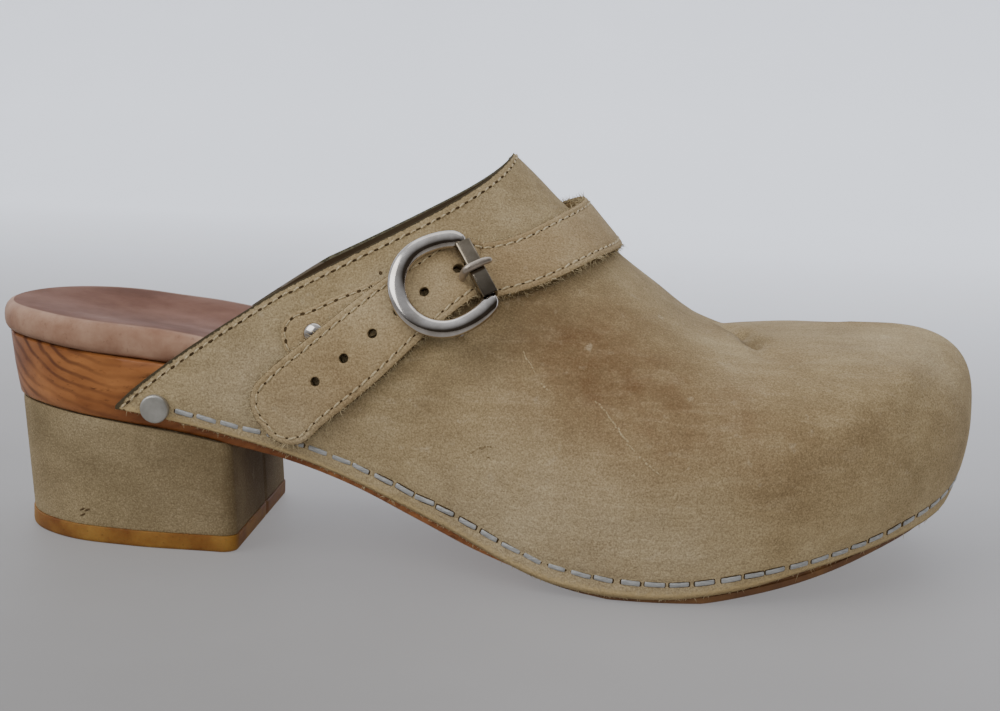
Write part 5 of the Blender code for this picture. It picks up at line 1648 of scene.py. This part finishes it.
def bed_inset(x, more):
    """How far the footbed's edge lies inside the outline: a lip at the heel, drawn in under the upper."""
    covered = smooth((x - COVER_START) / COVER_RUN)
    return WALL + SEAT + tuck(x) + more - FOOTBED_LIP + (FOOTBED_LIP + FOOTBED_COVERED) * covered


def bed_level(x, level):
    """Height in the footbed at a share of its thickness."""
    return height("top", x) + GAP + height("bed", x) * level


def bed_top(x, share):
    """Top of the footbed, dished under the foot."""
    bowl = (1 - (2 * share - 1)**2)**2
    fade = np.clip((DISH_END - x) / DISH_RUN, 0.25, 1) * smooth((x - DISH_BACK) / DISH_BACK_RUN)
    return bed_level(x, 1.0) - DISH * bowl * fade


def tread(x):
    """Underside of the outsole: flat on the floor, feathered behind the ball, sprung at the toe."""
    feather = np.clip((OUTSOLE_FULL - x) / (OUTSOLE_FULL - OUTSOLE_REAR), 0, 1)
    thick = OUTSOLE_THICK - (OUTSOLE_THICK - OUTSOLE_FEATHER) * feather
    return np.maximum(height("under", x) - SEAT - thick, 0)


def out_inset(x, more):
    """How far the outsole's edge lies inside the outline; it is tucked in at its rear."""
    rear = REAR_TUCK * np.clip(1 - (x - OUTSOLE_REAR) / REAR_RUN, 0, 1)
    return OUTSOLE_INSET + OUTSOLE_HIDE * np.clip((x - HIDE_START) / HIDE_RUN, 0, 1) + rear + more


def out_level(x, level):
    """Height in the outsole at a share of its thickness."""
    return tread(x) + (height("under", x) - SEAT - tread(x)) * level


print("layers at the ball:", np.round([tread(50.0), wood_level(50.0, 0.0), bed_level(50.0, 0.0)], 1), "mm")

# %% [markdown]
# Wood, footbed and outsole are slabs between the two sides of the outline. A station along the shoe
# gives a closed ring: across the underside, up one edge by a short profile, back over the top and
# down the other edge. The edge line is the outline drawn in, plus the swell of the upper's wall.

# %% Sole slabs
# Columns: inset, level.
WOOD_EDGE = np.array([(2.0, 0.0), (1.3, 0.02), (0.95, 0.06), (0.7, 0.25), (0.4, 0.5), (0.15, 0.8),
                      (0.0, 0.97), (0.3, 1.0)])
FOOTBED_EDGE = np.array([(1.6, 0.0), (0.75, 0.08), (0.3, 0.18), (0.06, 0.33), (0.0, 0.5), (0.12, 0.67),
                         (0.5, 0.82), (1.2, 0.94), (2.2, 1.0)])
OUTSOLE_EDGE = np.array([(0.7, 0.0), (0.2, 0.1), (0.0, 0.3), (0.0, 0.7), (0.35, 0.78), (0.35, 1.0)])


def edge_line(s, inset, level):
    """The outline moved in by inset and out by the wall's parabola at the line's own height."""
    nx, ny = outward(s)
    x = around("x", s)
    for settle in range(3):
        rise = around("rise", s)
        part = np.clip((level(x) - around("low", s)) / rise, 0, 1)
        slope = around("bulge", s) * 2 * (1 - part) / rise
        move = around("bulge", s) * (1 - (1 - part)**2) - inset(x) * np.sqrt(1 + slope**2)
        x = around("x", s) + nx * move
    return np.stack([x, around("y", s) + ny * move, level(x)], -1)


def slab_rings(sides, edge, inset_of, level_of, top_of=None, across=24):
    """Closed rings of a slab, station by station, and which of a ring's points lie on the edges."""
    lines = np.array([[edge_line(s, lambda x: inset_of(x, more), lambda x: level_of(x, level))
                       for s in sides] for more, level in edge])
    for end in (0, -1):
        close = np.linalg.norm(lines[:, 0, end] - lines[:, 1, end], axis=-1) < 1
        lines[close, :, end] = lines[close, :, end].mean(1, keepdims=True)
    share = np.linspace(0, 1, across + 1)[1:-1]

    def face(left, right, level, top):
        flat = left[:, None, :2] * (1 - share[:, None]) + right[:, None, :2] * share[:, None]
        z = top(flat[..., 0], share) if top else level_of(flat[..., 0], level)
        z = np.minimum(z, np.maximum(left, right)[:, None, 2]) if top else z
        return np.concatenate([flat, z[..., None]], -1)
    under = face(lines[0, 0], lines[0, 1], 0.0, None)
    over_face = face(lines[-1, 0], lines[-1, 1], 1.0, top_of)
    left = lines[::-1, 0].transpose(1, 0, 2)
    right = lines[:, 1].transpose(1, 0, 2)
    rim = np.tile(np.repeat((1.0, 0.0), (len(edge), across - 1)), 2)
    return np.concatenate([left, under, right, over_face[:, ::-1]], 1), rim


def side_places(share, rear=None):
    """Places on both sides of the outline, from the heel, or from x = rear, to the toe."""
    first, last = 0.0, S_END
    if rear is not None:
        s = np.linspace(S_CORNER_OUT, S_TOE, 2001)
        first = np.interp(rear, around("x", s), s)
        s = np.linspace(S_CORNER_IN, S_TOE, 2001)
        last = np.interp(rear, around("x", s), s)
    return first + (S_TOE - first) * share, last + (S_TOE - last) * share


share = np.linspace(0, 1, 181)
share = share - 0.62 * np.sin(2 * math.pi * share) / (2 * math.pi)
sides = side_places(share)
rings, _ = slab_rings(sides, WOOD_EDGE, wood_inset, wood_level)
ids = grid_ids(*rings.shape[:2])
faces = quads(ids, wrap=True)
piece("wood_carved", rings.reshape(-1, 3), faces, [oiled_wood], "wood", ["wood_sole"], sharp=50)
rings, rim = slab_rings(sides, FOOTBED_EDGE, bed_inset, bed_level, bed_top, across=36)
ids = grid_ids(*rings.shape[:2])
faces = quads(ids, wrap=True)
piece("footbed_cover", rings.reshape(-1, 3), faces, [footbed_leather], "footbed_leather", ["footbed"],
      values={"rim": np.tile(rim, len(rings))}, sharp=60)
sides = side_places(np.linspace(0, 1, 121), OUTSOLE_REAR)
rings, _ = slab_rings(sides, OUTSOLE_EDGE, out_inset, out_level)
ids = grid_ids(*rings.shape[:2])
faces = quads(ids, wrap=True).tolist() + [ids[0].tolist()]
piece("outsole_forefoot_rubber", rings.reshape(-1, 3), faces, [outsole_rubber], "outsole_rubber",
      ["outsole_forefoot"], sharp=40)

# %% [markdown]
# In plan the heel is a D: the outline of the sole with a straight breast. The D is drawn in towards
# the floor. A groove on the breast is the seam where the ends of the leather wrap meet.

# %% Plan of the heel
HEEL_SET, HEEL_TAPER, HEEL_CORNER = 0.2, 1.2, 3.5
HEEL_BREAST_TOP, HEEL_BREAST_LOW, HEEL_BREAST_SKEW = -61.0, -59.5, 0.03
HEEL_BACK_LOW, HEEL_HALF_LOW = -119.5, 31.0
BREAST_SEAM_Y, BREAST_SEAM_WIDE, BREAST_SEAM_DEEP = 3.0, 0.7, 0.6


def heel_side(direction):
    """One side of the heel in plan, from the back centre to where its front corner starts."""
    s = np.linspace(0, S_CORNER_OUT + 40, 400)
    t = s if direction > 0 else S_END - s
    nx, ny = outward(t)
    inset = WALL + GAP + HEEL_SET + HEEL_TAPER * taper(around("x", t))
    x = around("x", t) - nx * inset
    y = around("y", t) - ny * inset
    stop = np.interp(HEEL_BREAST_TOP - HEEL_CORNER, np.maximum.accumulate(x), s)
    at = np.linspace(0, stop, 50)
    line = np.stack([np.interp(at, s, x), np.interp(at, s, y)], -1)
    turn = np.radians(np.linspace(0, 90, 10))[1:]
    corner = np.stack([HEEL_CORNER * np.sin(turn), direction * HEEL_CORNER * (1 - np.cos(turn))], -1)
    return np.concatenate([line, line[-1] + corner])


def heel_ring(share, more=0.0):
    """The D in plan at a share of the way to the floor, with a groove for the seam on the breast."""
    one, two = heel_side(1), heel_side(-1)
    breast = np.linspace(one[-1], two[-1], 61)[1:-1]
    loop = np.concatenate([one, breast, two[::-1][:-1]])
    back = loop[:, 0].min()
    wide = 0.5 * (loop[:, 1].max() - loop[:, 1].min())
    front = HEEL_BREAST_TOP + (HEEL_BREAST_LOW - HEEL_BREAST_TOP) * share
    to_back = back + (HEEL_BACK_LOW - back) * share
    part = (loop[:, 0] - back) / (HEEL_BREAST_TOP - back)
    x = to_back + (front + HEEL_BREAST_SKEW * loop[:, 1] - to_back) * part
    y = loop[:, 1] * (1 + (HEEL_HALF_LOW / wide - 1) * share)
    groove = BREAST_SEAM_DEEP * np.exp(-((y - BREAST_SEAM_Y) / BREAST_SEAM_WIDE)**2) * (part > 0.98)
    middle = 0.5 * (to_back + front)
    grow = 1 + more / HEEL_HALF_LOW
    return np.stack([middle + (x - groove - middle) * grow, y * grow], -1)


print("heel at the floor:", np.round(np.ptp(heel_ring(1.0), axis=0), 1), "mm")

# %% [markdown]
# The heel is a block wrapped in the same nubuck, with a lift of amber rubber under it. Rings of the D,
# one below the other, make both, and a fan of triangles closes each end. Three short dark bars are a
# scuff on the outer side.

# %% Heel cover and lift
LIFT_HEIGHT, LIFT_GAP = 4.2, 0.06
COVER_GAP = 0.1
HEEL_PATCHES = {
    "stain": [
        (-112, -24, 12, 8, 0.12),
    ],
    "pale": [
        (-98, -31, 30, 9, 0.2), (-80, -32, 24, 7, 0.14),
    ],
    # Dirt and painted shade: the big ball on the breast is mostly painted shade, where the breast faces the
    # dark space under the arch, over some real dirt; the others make the heel darker low on its outer side
    # and at its front corner.
    "dirt_and_shade": [
        (-90, -32, 18, 14, 0.11), (-105, -29, 24, 12, 0.1), (-72, -32, 14, 10, 0.12),
        (-59, 0, 18, 30, 0.74), (-62, -32, 20, 7, 0.22), (-62, -31, 8, 7, 0.22), (-112, -24, 12, 8, 0.08),
        (-84, -31, 9, 7, 0.12),
    ],
}
# Columns: more, z.
LIFT_PROFILE = np.array([(0.0, 4.2), (0.2, 4.15), (0.3, 3.95), (0.3, 1.0), (0.2, 0.5), (-0.1, 0.12),
                         (-0.5, 0.0)])
# Columns: x, z.
HEEL_SCUFF = np.array([(-100.6, 8.4), (-99.6, 7.0), (-98.4, 7.7)])
SCUFF_ALONG = unit(np.array((1.0, -0.25, 0.5)))
SCUFF_OUT = unit(np.array((-0.25, -1.0, 0.0)))
SCUFF_BAR = dict(length=1.8, wide=0.5, high=0.3, arch=0.0, shape=HOLE_SHAPE)


def capped(rings):
    """Faces of stacked rings with a fan to a middle point at each end."""
    stack = np.array(rings)
    ids = grid_ids(*stack.shape[:2])
    points = np.concatenate([stack.reshape(-1, 3), stack[[0, -1]].mean(1)])
    faces = quads(ids, wrap=True).tolist()
    for row, middle in ((ids[0], ids.size), (ids[-1], ids.size + 1)):
        faces += np.stack([row, np.roll(row, -1), np.full(len(row), middle)], -1).tolist()
    return points, faces


def at_height(ring, z):
    """A ring in plan lifted to a height."""
    return np.concatenate([ring, np.broadcast_to(z, len(ring))[:, None]], -1)


low = LIFT_HEIGHT + LIFT_GAP
rings = []
for share in np.concatenate([[0.0, 0.02], np.linspace(0.06, 0.96, 19), [0.985, 1.0]]):
    soft = 0.25 * np.clip(1 - share / 0.05, 0, 1)**2 + 0.15 * np.clip((share - 0.97) / 0.03, 0, 1)**2
    ring = heel_ring(share, -soft)
    top = height("under", ring[:, 0]) - COVER_GAP
    rings.append(at_height(ring, top + (low - top) * share))
points, faces = capped(rings)
piece("heel_cover", points, faces, [heel_nubuck], "heel_nubuck", ["heel_block"],
      values=patches(points, HEEL_PATCHES), sharp=55)
gap = np.linalg.norm(points[:, None, ::2] - HEEL_SCUFF, axis=-1)
near = np.argmin(np.where(points[:, 1:2] > 0, np.inf, gap), axis=0)
one, out = (np.tile(axis, (len(near), 1)) for axis in (SCUFF_ALONG, SCUFF_OUT))
local, body = bar(**SCUFF_BAR)
made, faces = copies(local, body, points[near], one, np.cross(out, one), out)
piece("heel_scuff", made, faces, [dark_mark], "heel_nubuck")
rings = [at_height(heel_ring(1.0, more), z) for more, z in LIFT_PROFILE]
points, faces = capped(rings)
piece("lift_moulded", points, faces, [lift_rubber], "lift_rubber", ["heel_lift"], sharp=55)
